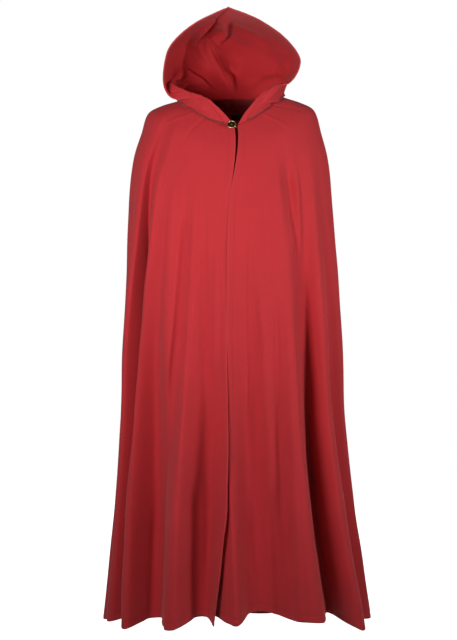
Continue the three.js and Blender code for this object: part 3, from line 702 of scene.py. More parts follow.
@dataclass(frozen=True)
class Reach:
    """How far each place of a panel's grid is from its four edges, in millimetres."""

    start: Array
    end: Array
    foot: Array
    top: Array

    @staticmethod
    def of(points: Array) -> "Reach":
        """Measures a grid of points along its rows and columns."""
        across, down = (
            np.linalg.norm(np.diff(points, axis=axis, prepend=points.take([0], axis)), axis=-1).cumsum(axis)
            for axis in (0, 1)
        )
        return Reach(start=across, end=across[-1:] - across, foot=down, top=down[:, -1:] - down)


@dataclass(frozen=True)
class Face:
    """A panel's finished face: grids of points and normals, the wall behind them, its wear and its reach."""

    points: Array
    normals: Array
    wall: Array
    wear: Array
    reach: Reach

    def inside(self) -> Array:
        """The points on the back of the cloth."""
        return self.points - self.normals * self.wall[..., None]

    def line(self, key: str, gap: float, inside: bool) -> tuple[Array, Array]:
        """A line that keeps its distance from an edge.

        Args:
            key: the edge, as it is named in the reach.
            gap: millimetres from the edge.
            inside: on the back of the cloth instead of its face.

        Returns:
            The line's points, and the way out of the cloth at each.
        """
        reach = self._from_edge(key, getattr(self.reach, key))
        points = self._from_edge(key, self.inside() if inside else self.points)
        normals = self._from_edge(key, -self.normals if inside else self.normals)
        k = np.minimum((reach < gap).sum(0) - 1, len(reach) - 2)
        along = np.arange(reach.shape[1])
        share = ((gap - reach[k, along]) / (reach[k + 1, along] - reach[k, along]))[:, None]
        return (
            mix(points[k, along], points[k + 1, along], share),
            unit(mix(normals[k, along], normals[k + 1, along], share)),
        )

    @staticmethod
    def _from_edge(key: str, grid: Array) -> Array:
        """Turns a grid so that its first axis runs inwards from an edge."""
        grid = grid if key in ("start", "end") else np.swapaxes(grid, 0, 1)
        return grid if key in ("start", "foot") else grid[::-1]


@dataclass(frozen=True)
class Stitching:
    """A row of lock stitches: short bars of thread that sink into the cloth at their ends."""

    pitch: float = 4.0
    long: float = 3.2
    thick: float = 0.52
    sunk: float = 0.3
    above: float = 0.1
    places: tuple[float, ...] = (-0.5, -0.3, 0.3, 0.5)
    sizes: tuple[float, ...] = (0.45, 1.0, 1.0, 0.45)
    sides: int = 6

    def bars(self, line: Array, normals: Array) -> tuple[Array, Array]:
        """Sews along a line.

        Args:
            line: points along it.
            normals: the way out of the cloth at each.

        Returns:
            The stitches' points and faces.
        """
        gone = gone_along(line)
        middles = (np.arange(int(gone[-1] / self.pitch)) + 0.5) * self.pitch
        ahead, behind = read_along(middles + 1, gone, line), read_along(middles - 1, gone, line)
        out = read_along(middles, gone, normals)
        centre, along = (ahead + behind) / 2, unit(ahead - behind)
        out = unit(out - along * (out * along).sum(-1, keepdims=True))
        across = np.cross(along, out)
        rings = []
        for place, size in zip(self.places, self.sizes):
            middle = centre + along * place * self.long + out * (self.above - self.sunk * (2 * place) ** 2)
            for k in range(self.sides):
                turned = 2 * np.pi * k / self.sides
                away = out * math.cos(turned) + across * math.sin(turned)
                rings.append(middle + away * self.thick / 2 * size)
        points = np.stack(rings, 1)
        faces = [
            [i * self.sides + k, i * self.sides + (k + 1) % self.sides,
             (i + 1) * self.sides + (k + 1) % self.sides, (i + 1) * self.sides + k]
            for i in range(len(self.places) - 1) for k in range(self.sides)
        ]
        last = (len(self.places) - 1) * self.sides
        faces += [[0, 5, 2, 1], [5, 4, 3, 2], [last, last + 1, last + 2, last + 5]]
        faces += [[last + 2, last + 3, last + 4, last + 5]]
        all_faces = np.array(faces)[None] + (np.arange(len(points)) * points.shape[1])[:, None, None]
        return points.reshape(-1, 3), all_faces.reshape(-1, 4)

    def sew(self, name: str, lines: Sequence[tuple[Array, Array]]) -> bpy.types.Object:
        """Sews along several lines in one object."""
        return joined(name, [self.bars(line, normals) for line, normals in lines])


@dataclass(frozen=True)
class Cut:
    """The flat piece that a panel is cut as, in metres and square metres."""

    wide: float
    long: float
    area: float


@dataclass(frozen=True)
class Hem:
    """A turned and stitched hem: the cloth is double over its width, and rubbed along its edge."""

    wide: float = 18.0
    step: float = 0.7
    stitch_in: float = 2.6
    dent: float = 0.55
    dent_wide: float = 1.7
    round: float = 1.5
    drawn_in: float = 0.5
    pucker: float = 0.35
    pucker_at: float = 9.0
    rubbed: float = 2.2

    def layers(self, gap: Array) -> Array:
        """1 on the doubled cloth and 0 past it, at distances from the edge."""
        return 1 - smooth((gap - self.wide + self.step / 2) / self.step)

    def press(self, gap: Array, waves: Array) -> Array:
        """How far the stitch line, the folded edge and the puckers' waves move the face, in millimetres."""
        line = self.dent * hump((gap - self.wide + self.stitch_in) / self.dent_wide)
        puckers = self.pucker * waves * hump((gap - self.pucker_at) / self.pucker_at)
        return -line - self.drawn_in * hump(gap / self.round) + puckers

    def wear(self, gap: Array) -> Array:
        """How rubbed the cloth is, at distances from the edge."""
        return np.exp(-gap / self.rubbed)


@dataclass(frozen=True)
class Seam:
    """A plain seam: the cloth turns in to it, puckers a little, and its allowances lie inside."""

    groove: float = 1.1
    groove_wide: float = 1.5
    pucker: float = 0.55
    pucker_wide: float = 13.0
    allowance: float = 12.0
    allowance_thick: float = 0.9
    allowance_edge: float = 1.0

    def press(self, gap: Array, waves: Array) -> Array:
        """How far the seam draws the face in, at distances from it and with the waves of its puckers."""
        return self.pucker * waves * hump(gap / self.pucker_wide) - self.groove * hump(gap / self.groove_wide)

    def layers(self, gap: Array, allowance: float) -> Array:
        """The thickness of an allowance inside, at distances from the seam."""
        return self.allowance_thick * (1 - smooth((gap - allowance) / self.allowance_edge))


PUCKERS = Unevenness(length=16, height=0.8, seed=5)
DRAPE = Unevenness(length=210, height=1.1, seed=11)
HANDLING = Unevenness(length=62, height=0.28, seed=23)


def stations(count: int, extent: float, start: Sequence[float], end: Sequence[float]) -> Array:
    """Shares along a panel, even but for some fine places near its ends.

    Args:
        count: how many even steps.
        extent: the panel's extent in millimetres.
        start: distances from the start that get a line of their own.
        end: distances from the end that get one.

    Returns:
        Rising shares from 0 to 1.
    """
    fine = np.concatenate([np.array(start) / extent, 1 - np.array(end) / extent])
    even = np.linspace(0, 1, count + 1)
    room = LINE_ROOM / count
    kept = [x for x in even if x in (0.0, 1.0) or np.all(np.abs(fine - x) > room)]
    return np.unique(np.concatenate([kept, fine]))


LINE_ROOM = 0.45  # of an even step, kept free on both sides of a fine line
RIM_OUT = 0.32  # how far the middle of a cut edge stands out, as a share of its thickness
CORD_UP = (0.0, 0.35, 1.0)  # a way that no cord here runs along
CORD_TIP = 0.05  # how small a cord's closed end is, as a share of its radius


def make_object(name: str, points: Array, faces: Array | list, **attributes: Array) -> bpy.types.Object:
    """Makes a smooth mesh object and links it.

    Args:
        name: the piece's name.
        points: vertices in millimetres.
        faces: rows of three or four vertex numbers.
        attributes: a number or a vector for each vertex, by name.

    Returns:
        The object.
    """
    mesh = bpy.data.meshes.new(name)
    mesh.from_pydata((points * MM).tolist(), [], faces if isinstance(faces, list) else faces.tolist())
    for key, values in attributes.items():
        kind = "FLOAT_VECTOR" if values.ndim > 1 else "FLOAT"
        made = mesh.attributes.new(key, kind, "POINT")
        made.data.foreach_set("vector" if values.ndim > 1 else "value", values.astype(np.float32).ravel())
    mesh.validate()
    mesh.shade_smooth()
    piece = bpy.data.objects.new(name, mesh)
    bpy.context.scene.collection.objects.link(piece)
    return piece


def joined(name: str, parts: Sequence[tuple[Array, Array]]) -> bpy.types.Object:
    """Makes one object of several parts, each with its points and faces."""
    counts = np.cumsum([0] + [len(points) for points, _ in parts])
    faces = [faces + count for (_, faces), count in zip(parts, counts)]
    return make_object(name, np.concatenate([points for points, _ in parts]), np.concatenate(faces))


def between(grid: Array, places: Array) -> Array:
    """Reads a grid of vectors at fractional places along its second axis."""
    low = np.minimum(places.astype(int), grid.shape[1] - 2)
    return mix(grid[:, low], grid[:, low + 1], (places - low)[:, None])


def rounded_path(corners: Array, count: int) -> Array:
    """A smooth line through some points, with its pace set by the root of the distance between them.

    Args:
        corners: the points.
        count: how many steps the line gets.

    Returns:
        Points along the line.
    """
    ends = [2 * corners[0] - corners[1], *corners, 2 * corners[-1] - corners[-2]]
    p = np.array(ends)
    knots = np.concatenate([[0], np.sqrt(np.linalg.norm(np.diff(p, axis=0), axis=-1)).cumsum()])
    line = []
    for at in np.linspace(knots[1], knots[-2], count + 1):
        i = int(np.clip(np.searchsorted(knots, at, side="right") - 1, 1, len(p) - 3))
        t = knots[i - 1:i + 3]
        q = p[i - 1:i + 3]
        a = [mix(q[k], q[k + 1], (at - t[k]) / (t[k + 1] - t[k])) for k in range(3)]
        b = [mix(a[k], a[k + 1], (at - t[k]) / (t[k + 2] - t[k])) for k in range(2)]
        line.append(mix(b[0], b[1], (at - t[1]) / (t[2] - t[1])))
    return np.array(line)


def ways_round(line: Array) -> tuple[Array, Array]:
    """Two ways square to a line at each of its points."""
    along = unit(np.gradient(line, axis=0))
    side = unit(np.cross(along, CORD_UP))
    return side, np.cross(side, along)


def sweep(line: Array, radius: float, sides: int) -> tuple[Array, Array]:
    """A round tube along a line.

    Args:
        line: its middle line.
        radius: its radius.
        sides: how many sides it has.

    Returns:
        Its points and faces. Its ends are closed to a point.
    """
    side, up = ways_round(line)
    angles = np.arange(sides) * 2 * np.pi / sides
    sizes = np.ones(len(line))
    sizes[[0, -1]] = CORD_TIP
    away = side[:, None] * np.cos(angles)[:, None] + up[:, None] * np.sin(angles)[:, None]
    points = line[:, None] + away * (radius * sizes)[:, None, None]
    ids = np.arange(points.shape[0] * sides).reshape(-1, sides)
    after = np.roll(ids, -1, 1)
    faces = np.stack([ids[:-1], ids[1:], after[1:], after[:-1]], -1).reshape(-1, 4)
    return points.reshape(-1, 3), faces


def volume_of(points: Array, faces: Array) -> float:
    """The signed volume of a closed mesh of four-sided faces."""
    a, b, c, d = (points[faces[:, k]] for k in range(4))
    return float((a * np.cross(b, c)).sum() + (a * np.cross(c, d)).sum()) / 6


def shell(name: str, outer: Array, inner: Array, cut: Array, wear: Array) -> bpy.types.Object:
    """Closes two skins into one thin wall with rounded edges.

    Args:
        name: the piece's name.
        outer: a grid of points on the face.
        inner: the same grid on the back of the cloth.
        cut: where each place lies on the flat cut, in millimetres.
        wear: from 0 to 1, how rubbed each place is; on the label, how much of the painted highlight along its
            fold it takes.

    Returns:
        The object.
    """
    rows, cols = outer.shape[:2]
    ids = np.arange(rows * cols).reshape(rows, cols)
    rim = np.concatenate([ids[0, :-1], ids[:-1, -1], ids[-1, :0:-1], ids[:0:-1, 0]])
    inside = np.clip(np.stack(np.unravel_index(rim, ids.shape)), 1, np.array([[rows - 2], [cols - 2]]))
    flat_outer, flat_inner = outer.reshape(-1, 3), inner.reshape(-1, 3)
    middle = (flat_outer[rim] + flat_inner[rim]) / 2
    thick = np.linalg.norm(flat_outer[rim] - flat_inner[rim], axis=-1, keepdims=True)
    next_in = (outer[inside[0], inside[1]] + inner[inside[0], inside[1]]) / 2
    middle = middle + unit(middle - next_in) * thick * RIM_OUT
    total = rows * cols
    grid = np.stack([ids[:-1, :-1], ids[:-1, 1:], ids[1:, 1:], ids[1:, :-1]], -1).reshape(-1, 4)
    ring = 2 * total + np.arange(len(rim))
    after, ring_after = np.roll(rim, -1), np.roll(ring, -1)
    faces = np.concatenate([
        grid,
        grid[:, ::-1] + total,
        np.stack([rim, ring, ring_after, after], -1),
        np.stack([ring, rim + total, after + total, ring_after], -1),
    ])
    points = np.concatenate([flat_outer, flat_inner, middle])
    if volume_of(points, faces) < 0:
        faces = faces[:, ::-1]
    flat_cut, flat_wear = cut.reshape(-1, 3), wear.reshape(-1)
    return make_object(
        name,
        points,
        faces,
        cut=np.concatenate([flat_cut, flat_cut, flat_cut[rim]]) * MM,
        wear=np.concatenate([flat_wear, flat_wear, flat_wear[rim]]),
    )


class Edge(Enum):
    """What an edge of a panel is."""

    HEM = "turned hem"
    SEAM = "seam"
    NECK = "neck seam"

    @property
    def fine(self) -> tuple[float, ...]:
        """The distances from such an edge that get a line of the grid."""
        if self is Edge.HEM:
            return 0.6, 1.5, 3.0, 8.0, 13.0, 14.4, 15.4, 16.4, 17.6, 18.4, 20.0
        return 0.8, 1.8, 3.2, 5.5, 11.4, 12.6


@dataclass
class Panel:
    """A cut piece of cotton, as a closed thin shell on its own form.

    Its grid runs across (first) from start to end, and along (second) from foot to top; its edges are named
    in that order. extent is roughly how wide and long it is, and steps how many steps its grid has.
    """

    side: Side
    word: str = ""
    steps: tuple[int, int] = (1, 1)
    extent: tuple[float, float] = (1, 1)
    edges: tuple[Edge, ...] = ()
    cut: Cut = Cut(wide=1, long=1, area=1)
    hem: Hem = Hem()
    seam: Seam = Seam()
    neck_turn: float = 7.0
    neck_allowance: float = 0.0

    @property
    def name(self) -> str:
        """The piece's name."""
        return f"{self.side.word}_{self.word}"

    def named_edges(self) -> dict[str, Edge]:
        """The edges by their names."""
        return dict(zip(("start", "end", "foot", "top"), self.edges))

    def points(self, u: Array, v: Array) -> Array:
        """Points of the panel's plain form at two shares."""
        raise NotImplementedError

    def creases(self, u: Array, v: Array) -> Array:
        """How far the listed creases stand out at two shares."""
        raise NotImplementedError

    def grid(self) -> tuple[Array, Array]:
        """The shares of the panel's grid, finer next to its edges."""
        start, end, foot, top = (edge.fine for edge in self.edges)
        u = stations(self.steps[0], self.extent[0], start, end)
        v = stations(self.steps[1], self.extent[1], foot, top)
        return np.meshgrid(u, v, indexing="ij")

    def normals(self, u: Array, v: Array, step: float = 0.003) -> Array:
        """Normals out of the cape at two shares."""
        du = self.points(u + step, v) - self.points(u - step, v)
        dv = self.points(u, v + step) - self.points(u, v - step)
        return unit(np.cross(du, dv)) * -self.side.value

    def face(self) -> Face:
        """Shapes the panel's face, with its creases, hems and seams."""
        u, v = self.grid()
        base = self.points(u, v)
        normals = self.normals(u, v)
        reach = Reach.of(base)
        out = self.creases(u, v) + DRAPE.at(base) + HANDLING.at(base)
        wall = np.full(u.shape, CLOTH)
        wear = np.zeros(u.shape)
        waves = PUCKERS.at(base)
        for key, edge in self.named_edges().items():
            gap = getattr(reach, key)
            if edge is Edge.HEM:
                out += self.hem.press(gap, waves)
                wall = np.maximum(wall, CLOTH * (1 + self.hem.layers(gap)))
                wear = np.maximum(wear, self.hem.wear(gap))
            else:
                out += self.seam.press(gap, waves)
                allowance = self.neck_allowance if edge is Edge.NECK else self.seam.allowance
                wall = np.maximum(wall, CLOTH + self.seam.layers(gap, allowance))
            if edge is Edge.NECK:
                # Both sides of the neck seam turn in along one line, away from the middle of the neck
                flat = unit(base * np.array([1, 1, 0]))
                turned = smooth(gap / self.neck_turn)[..., None]
                normals = unit(mix(flat, normals, turned))
        return Face(base + normals * out[..., None], normals, wall, wear, reach)

    def build(self, face: Face) -> bpy.types.Object:
        """Builds the panel's shell on its face."""
        cut = np.stack([face.reach.start, face.reach.foot, np.zeros(face.wall.shape)], -1)
        return shell(self.name, face.points, face.inside(), cut, face.wear)

    def stitches(self, face: Face, stitching: Stitching) -> bpy.types.Object:
        """Sews the panel's hems, on both sides of the cloth."""
        gap = self.hem.wide - self.hem.stitch_in
        hems = [key for key, edge in self.named_edges().items() if edge is Edge.HEM]
        lines = [face.line(key, gap, inside) for key in hems for inside in (False, True)]
        return stitching.sew(f"{self.name}_stitches", lines)


@dataclass
class FrontPanel(Panel):
    """A front of the body, from its opening edge to the side seam."""

    word: str = "front"
    steps: tuple[int, int] = (190, 190)
    extent: tuple[float, float] = (560.0, BODY_LENGTH)
    edges: tuple[Edge, ...] = (Edge.HEM, Edge.SEAM, Edge.NECK, Edge.HEM)
    cut: Cut = Cut(wide=0.8, long=1.31, area=0.69)
    apart_top: float = 9.0
    apart_low: float = 0.8
    meets: float = 0.16
    curl_from: float = 0.2
    curl_wide: float = 8.0
    curl_growth: float = 2.2
    lip: float = 0.1
    lip_at: float = 0.33
    lip_tall: float = 0.28

    def bearings(self, u: Array, v: Array) -> tuple[Array, Array]:
        """The bearings of the panel's places, and of its opening edge."""
        apart = mix(self.apart_top, self.apart_low, smooth(v / self.meets)) / 2
        start = BODY.opening(v) + self.side.value * apart / (RINGS.read(self.side.word, v) * DEG)
        return mix(start, SIDE_SEAM[self.side], u), start

    def points(self, u: Array, v: Array) -> Array:
        """Points of the front, with the curl of its opening edge."""
        bearing, start = self.bearings(u, v)
        if self.side is Side.RIGHT:
            curl = clamp01((v - self.curl_from) / (1 - self.curl_from)) ** self.curl_growth
        else:
            curl = self.lip * bell((v - self.lip_at) / self.lip_tall)
        near = clamp01(1 - np.abs(bearing - start) / self.curl_wide) ** 2
        return BODY.points(bearing, v, curl * near)

    def creases(self, u: Array, v: Array) -> Array:
        """The body's creases on this front."""
        return BODY_CREASES.at(self.bearings(u, v)[0], v)


@dataclass
class BackPanel(Panel):
    """A half of the back, from the side seam to the seam down its middle."""

    word: str = "back"
    steps: tuple[int, int] = (150, 170)
    extent: tuple[float, float] = (480.0, BODY_LENGTH)
    edges: tuple[Edge, ...] = (Edge.SEAM, Edge.SEAM, Edge.NECK, Edge.HEM)
    cut: Cut = Cut(wide=0.6, long=1.4, area=0.54)

    def bearings(self, u: Array) -> Array:
        """The bearings of the panel's places."""
        return mix(SIDE_SEAM[self.side], self.side.value * 180, u)

    def points(self, u: Array, v: Array) -> Array:
        """Points of the back half."""
        return BODY.points(self.bearings(u), v)

    def creases(self, u: Array, v: Array) -> Array:
        """The body's creases on this half, with the right one's bearings counted on past the middle."""
        return BODY_CREASES.at(self.bearings(u) % 360, v)


@dataclass
class HoodPanel(Panel):
    """A half of the hood, from its opening edge to the centre seam and from the neck seam to the ridge."""

    word: str = "hood"
    steps: tuple[int, int] = (120, 110)
    extent: tuple[float, float] = (HOOD_AROUND, HOOD_UP)
    edges: tuple[Edge, ...] = (Edge.HEM, Edge.SEAM, Edge.NECK, Edge.SEAM)
    cut: Cut = Cut(wide=0.36, long=0.36, area=0.1)
    neck_allowance: float = 7.0

    def around(self, u: Array) -> Array:
        """Where shares of the half's depth lie round the whole hood."""
        return self.side.value * (1 - u)

    def points(self, u: Array, v: Array) -> Array:
        """Points of the hood half."""
        return HOOD.points(v, self.around(u))

    def creases(self, u: Array, v: Array) -> Array:
        """The hood's creases on this half."""
        return HOOD_CREASES.at(self.around(u), v)

    def normals(self, u: Array, v: Array, step: float = 0.003) -> Array:
        """Normals out of the cape; both halves share one where the ridge runs into the centre seam."""
        own = super().normals(u, v, step)
        at = np.array([HOOD.corner])
        shared = np.zeros(3)
        for side in Side:
            half = replace(self, side=side)
            shared = shared + Panel.normals(half, at, at, step)[0]
        near = smooth((np.minimum(u, v) - HOOD.corner) / (1 - HOOD.corner))[..., None]
        return unit(mix(own, unit(shared), near))


def linear(hex_colour: str, alpha: float = 1.0) -> tuple[float, float, float, float]:
    """Turns an sRGB hex colour into Blender's linear one."""
    parts = [int(hex_colour[k:k + 2], 16) / 255 for k in (1, 3, 5)]
    red, green, blue = (p / 12.92 if p <= 0.04045 else ((p + 0.055) / 1.055) ** 2.4 for p in parts)
    return red, green, blue, alpha


def add_node(tree: bpy.types.NodeTree, kind: str, settings: dict | None = None, **sockets: object) -> Node:
    """Adds a node with its settings and links.

    Args:
        tree: the node tree.
        kind: the node's type, without its ShaderNode prefix.
        settings: properties of the node by name.
        sockets: for each input, by its name with _ for a space or by its number as i0, i1 and so on, a value
            or an output to link.

    Returns:
        The node.
    """
    node = tree.nodes.new(f"ShaderNode{kind}")
    for key, value in (settings or {}).items():
        setattr(node, key, value)
    for key, value in sockets.items():
        numbered = key[0] == "i" and key[1:].isdigit()
        socket = node.inputs[int(key[1:])] if numbered else node.inputs[key.replace("_", " ")]
        if isinstance(value, Socket):
            tree.links.new(value, socket)
        else:
            socket.default_value = value
    return node


class Surface:
    """A material on its way: each method adds one node and gives its output."""

    def __init__(self, name: str) -> None:
        """Starts an empty material."""
        self.material = bpy.data.materials.new(name)
        self.material.use_nodes = True
        self.tree = self.material.node_tree
        self.tree.nodes.clear()

    def attribute(self, name: str, output: str) -> Socket:
        """Reads what a vertex holds."""
        return add_node(self.tree, "Attribute", {"attribute_name": name}).outputs[output]

    def place(self) -> Socket:
        """Reads where a point lies in its object."""
        return add_node(self.tree, "TexCoord").outputs["Object"]

    def math(self, operation: str, *values: Socket | float, clamp: bool = False) -> Socket:
        """Works out one number from others."""
        settings = {"operation": operation, "use_clamp": clamp}
        return add_node(self.tree, "Math", settings, **{f"i{k}": v for k, v in enumerate(values)}).outputs[0]

    def stretch(self, vector: Socket, scale: Sequence[float]) -> Socket:
        """Scales places by another number along each axis."""
        return add_node(self.tree, "Mapping", None, Vector=vector, Scale=scale).outputs[0]

    def noise(self, vector: Socket, scale: float, detail: float, roughness: float = 0.5) -> Socket:
        """Soft noise, with scale steps in a metre."""
        sizes = {"Scale": scale, "Detail": detail, "Roughness": roughness}
        return add_node(self.tree, "TexNoise", None, Vector=vector, **sizes).outputs[0]

    def spread(self, value: Socket, low: float, high: float, at_low: float, at_high: float) -> Socket:
        """Takes the range from low to high to another one."""
        ends = {"i1": low, "i2": high, "i3": at_low, "i4": at_high}
        return add_node(self.tree, "MapRange", None, Value=value, **ends).outputs[0]

    def blend(self, factor: Socket, low: Socket | str, high: Socket | str) -> Socket:
        """Goes from one colour to another."""
        low, high = (linear(c) if isinstance(c, str) else c for c in (low, high))
        return add_node(self.tree, "Mix", {"data_type": "RGBA"}, Factor=factor, i6=low, i7=high).outputs[2]

    def bump(self, strength: float, distance: float, height: Socket, **under: Socket) -> Socket:
        """Raises a height as a relief, over the Normal of another one if it is given."""
        sizes = {"Strength": strength, "Distance": distance}
        return add_node(self.tree, "Bump", None, **sizes, Height=height, **under).outputs[0]

    def finish(self, **sockets: object) -> bpy.types.Material:
        """Ends the material in one Principled surface with these sockets."""
        surface = add_node(self.tree, "BsdfPrincipled", None, **sockets)
        add_node(self.tree, "OutputMaterial", None, Surface=surface.outputs["BSDF"])
        return self.material


@dataclass(frozen=True)
class WovenCotton:
    """Heavy plain-woven cotton, piece-dyed red and washed once.

    Short fibres stand off its threads, so it is matte with a faint bloom at grazing light and no highlight.
    The threads are about 0.5 mm apart; they are drawn thread_wide apart so that they show at all. The dye
    took a little unevenly: in clouds a hand wide, and in the thicker threads. Its edges are rubbed paler.
    clouds and nap count what lies in a metre.
    """

    name: str = "red_cotton"
    colour: str = "#c01f27"
    shade: str = "#b31a22"
    rubbed: str = "#cf5a5c"
    bloom: str = "#f4dcdc"
    thread_wide: float = 1.5
    slub_long: float = 70.0
    slub_wide: float = 2.4
    clouds: float = 9.0
    nap: float = 900.0
    rub: float = 0.12
    roughness: float = 0.88
    sheen: float = 0.06
    ior: float = 1.53

    def _weave(self, s: Surface, cut: Socket) -> Socket:
        """The relief of a plain weave: warp and weft threads that take turns on top."""
        axes = add_node(s.tree, "SeparateXYZ", None, Vector=cut)
        waves = []
        for axis in ("X", "Y"):
            turns = s.math("MULTIPLY", axes.outputs[axis], math.pi / (self.thread_wide * MM))
            sine, cosine = s.math("SINE", turns), s.math("COSINE", turns)
            waves.append((s.math("ABSOLUTE", sine), cosine))
        over = s.math("MULTIPLY", waves[0][1], waves[1][1])
        which = s.math("MULTIPLY_ADD", over, 2.0, 0.5, clamp=True)
        return add_node(s.tree, "Mix", {"data_type": "FLOAT"}, Factor=which, i2=waves[0][0],
                        i3=waves[1][0]).outputs[0]

    def _slubs(self, s: Surface, cut: Socket) -> Socket:
        """How thick the threads are here and there, along both ways of the cloth."""
        slubs = []
        for long_axis in (0, 1):
            scale = [1000 / self.slub_wide, 1000 / self.slub_wide, 1.0]
            scale[long_axis] = 1000 / self.slub_long
            slubs.append(s.noise(s.stretch(cut, scale), 1.0, 2.0))
        return s.math("ADD", *slubs)

    def make(self) -> bpy.types.Material:
        """Builds the material."""
        s = Surface(self.name)
        cut = s.attribute("cut", "Vector")
        weave, threads = self._weave(s, cut), self._slubs(s, cut)
        tone = s.math("MULTIPLY_ADD", threads, 0.5, s.noise(cut, self.clouds, 3.0, 0.55))
        dyed = s.blend(s.spread(tone, 0.5, 1.5, 0.0, 1.0), self.shade, self.colour)
        worn = s.math("MULTIPLY", s.attribute("wear", "Fac"), self.rub)
        nap = s.bump(0.25, 0.0003, s.noise(cut, self.nap, 2.0))
        bump = s.bump(0.2, 0.0006, threads, Normal=s.bump(0.3, 0.0004, weave, Normal=nap))
        return s.finish(Normal=bump, Base_Color=s.blend(worn, dyed, self.rubbed), Roughness=self.roughness,
                        IOR=self.ior, Specular_IOR_Level=0.5, Sheen_Weight=self.sheen, Sheen_Roughness=0.5,
                        Sheen_Tint=linear(self.bloom))


@dataclass(frozen=True)
class TwillTape:
    """Narrow cotton tape, woven in twill: fine slanting ribs, quite matte, a darker red than the cloth."""

    name: str = "neck_tape_twill"
    colour: str = "#8a2b2d"
    shade: str = "#6e2123"
    rib: float = 1.1
    mottle: float = 260.0
    roughness: float = 0.85

    def make(self) -> bpy.types.Material:
        """Builds the material; the wave texture has 20 radians in a step of its scale."""
        s = Surface(self.name)
        cut = s.attribute("cut", "Vector")
        slant = add_node(s.tree, "VectorRotate", {"rotation_type": "Z_AXIS"}, Vector=cut, Angle=45 * DEG)
        ribs = add_node(s.tree, "TexWave", {"wave_profile": "SIN"}, Vector=slant.outputs[0],
                        Scale=1000 / (self.rib * 2 * math.pi), Distortion=0.4)
        tone = s.blend(s.noise(cut, self.mottle, 3.0), self.shade, self.colour)
        return s.finish(Normal=s.bump(0.5, 0.0003, ribs.outputs["Fac"]), Base_Color=tone,
                        Roughness=self.roughness, IOR=1.53, Specular_IOR_Level=0.25, Sheen_Weight=0.15)


@dataclass(frozen=True)
class SatinRibbon:
    """Black polyester ribbon woven in satin, left bare: a soft, slightly shiny dark strip."""

    name: str = "bare_label_ribbon"
    colour: str = "#262423"
    shade: str = "#171615"
    # the paler colour of the folded top edge: a painted highlight along the fold
    rubbed: str = "#6a6460"
    floats: tuple[float, float] = (300.0, 2600.0)
    roughness: float = 0.5

    def make(self) -> bpy.types.Material:
        """Builds the material, with floats that run along the ribbon."""
        s = Surface(self.name)
        floats = s.noise(s.stretch(s.attribute("cut", "Vector"), [*self.floats, 1.0]), 1.0, 2.0)
        tone = s.blend(floats, self.shade, self.colour)
        # the folded top edge takes the paler colour, a painted highlight along the fold
        edge = s.blend(s.attribute("wear", "Fac"), tone, self.rubbed)
        return s.finish(Normal=s.bump(0.3, 0.0002, floats), Base_Color=edge, Roughness=self.roughness,
                        IOR=1.57, Sheen_Weight=0.1)


@dataclass(frozen=True)
class AntiqueBrass:
    """Cast brass, darkened and then rubbed back: pale gold on the rim, brown-black patina in the well."""

    name: str = "antique_brass"
    bright: str = "#d8c08c"
    patina: str = "#3a2a1a"
    speckle: float = 900.0

    def make(self) -> bpy.types.Material:
        """Builds the material; where it is rubbed it is also smoother."""
        s = Surface(self.name)
        speckle = s.noise(s.place(), self.speckle, 4.0, 0.6)
        shifted = s.math("SUBTRACT", speckle, 0.5)
        rubbed = s.math("MULTIPLY_ADD", shifted, 0.7, s.attribute("wear", "Fac"), clamp=True)
        return s.finish(Normal=s.bump(0.4, 0.0002, speckle), Metallic=1.0,
                        Base_Color=s.blend(rubbed, self.patina, self.bright),
                        Roughness=s.spread(rubbed, 0.0, 1.0, 0.62, 0.3))


@dataclass(frozen=True)
class Yarn:
    """Spun thread or cord: matte, with the twist shaped in the mesh and fine fibres in the bump."""

    name: str
    colour: str
    dark: str
    fibres: float = 1500.0
    roughness: float = 0.8

    def make(self) -> bpy.types.Material:
        """Builds the material."""
        s = Surface(self.name)
        fibres = s.noise(s.place(), self.fibres, 2.0)
        tone = s.blend(fibres, self.dark, self.colour)
        return s.finish(Normal=s.bump(0.4, 0.0002, fibres), Base_Color=tone, Roughness=self.roughness,
                        IOR=1.53, Specular_IOR_Level=0.3, Sheen_Weight=0.2)


@dataclass(frozen=True)
class StudioPaper:
    """White seamless paper, lit evenly: matte, with no pattern of its own."""

    name: str = "studio_paper"
    colour: str = "#fbfbfa"
    glow: float = 1.0

    def make(self) -> bpy.types.Material:
        """Builds the material."""
        return Surface(self.name).finish(Base_Color=linear(self.colour), Roughness=0.95,
                                         Emission_Color=linear(self.colour), Emission_Strength=self.glow)


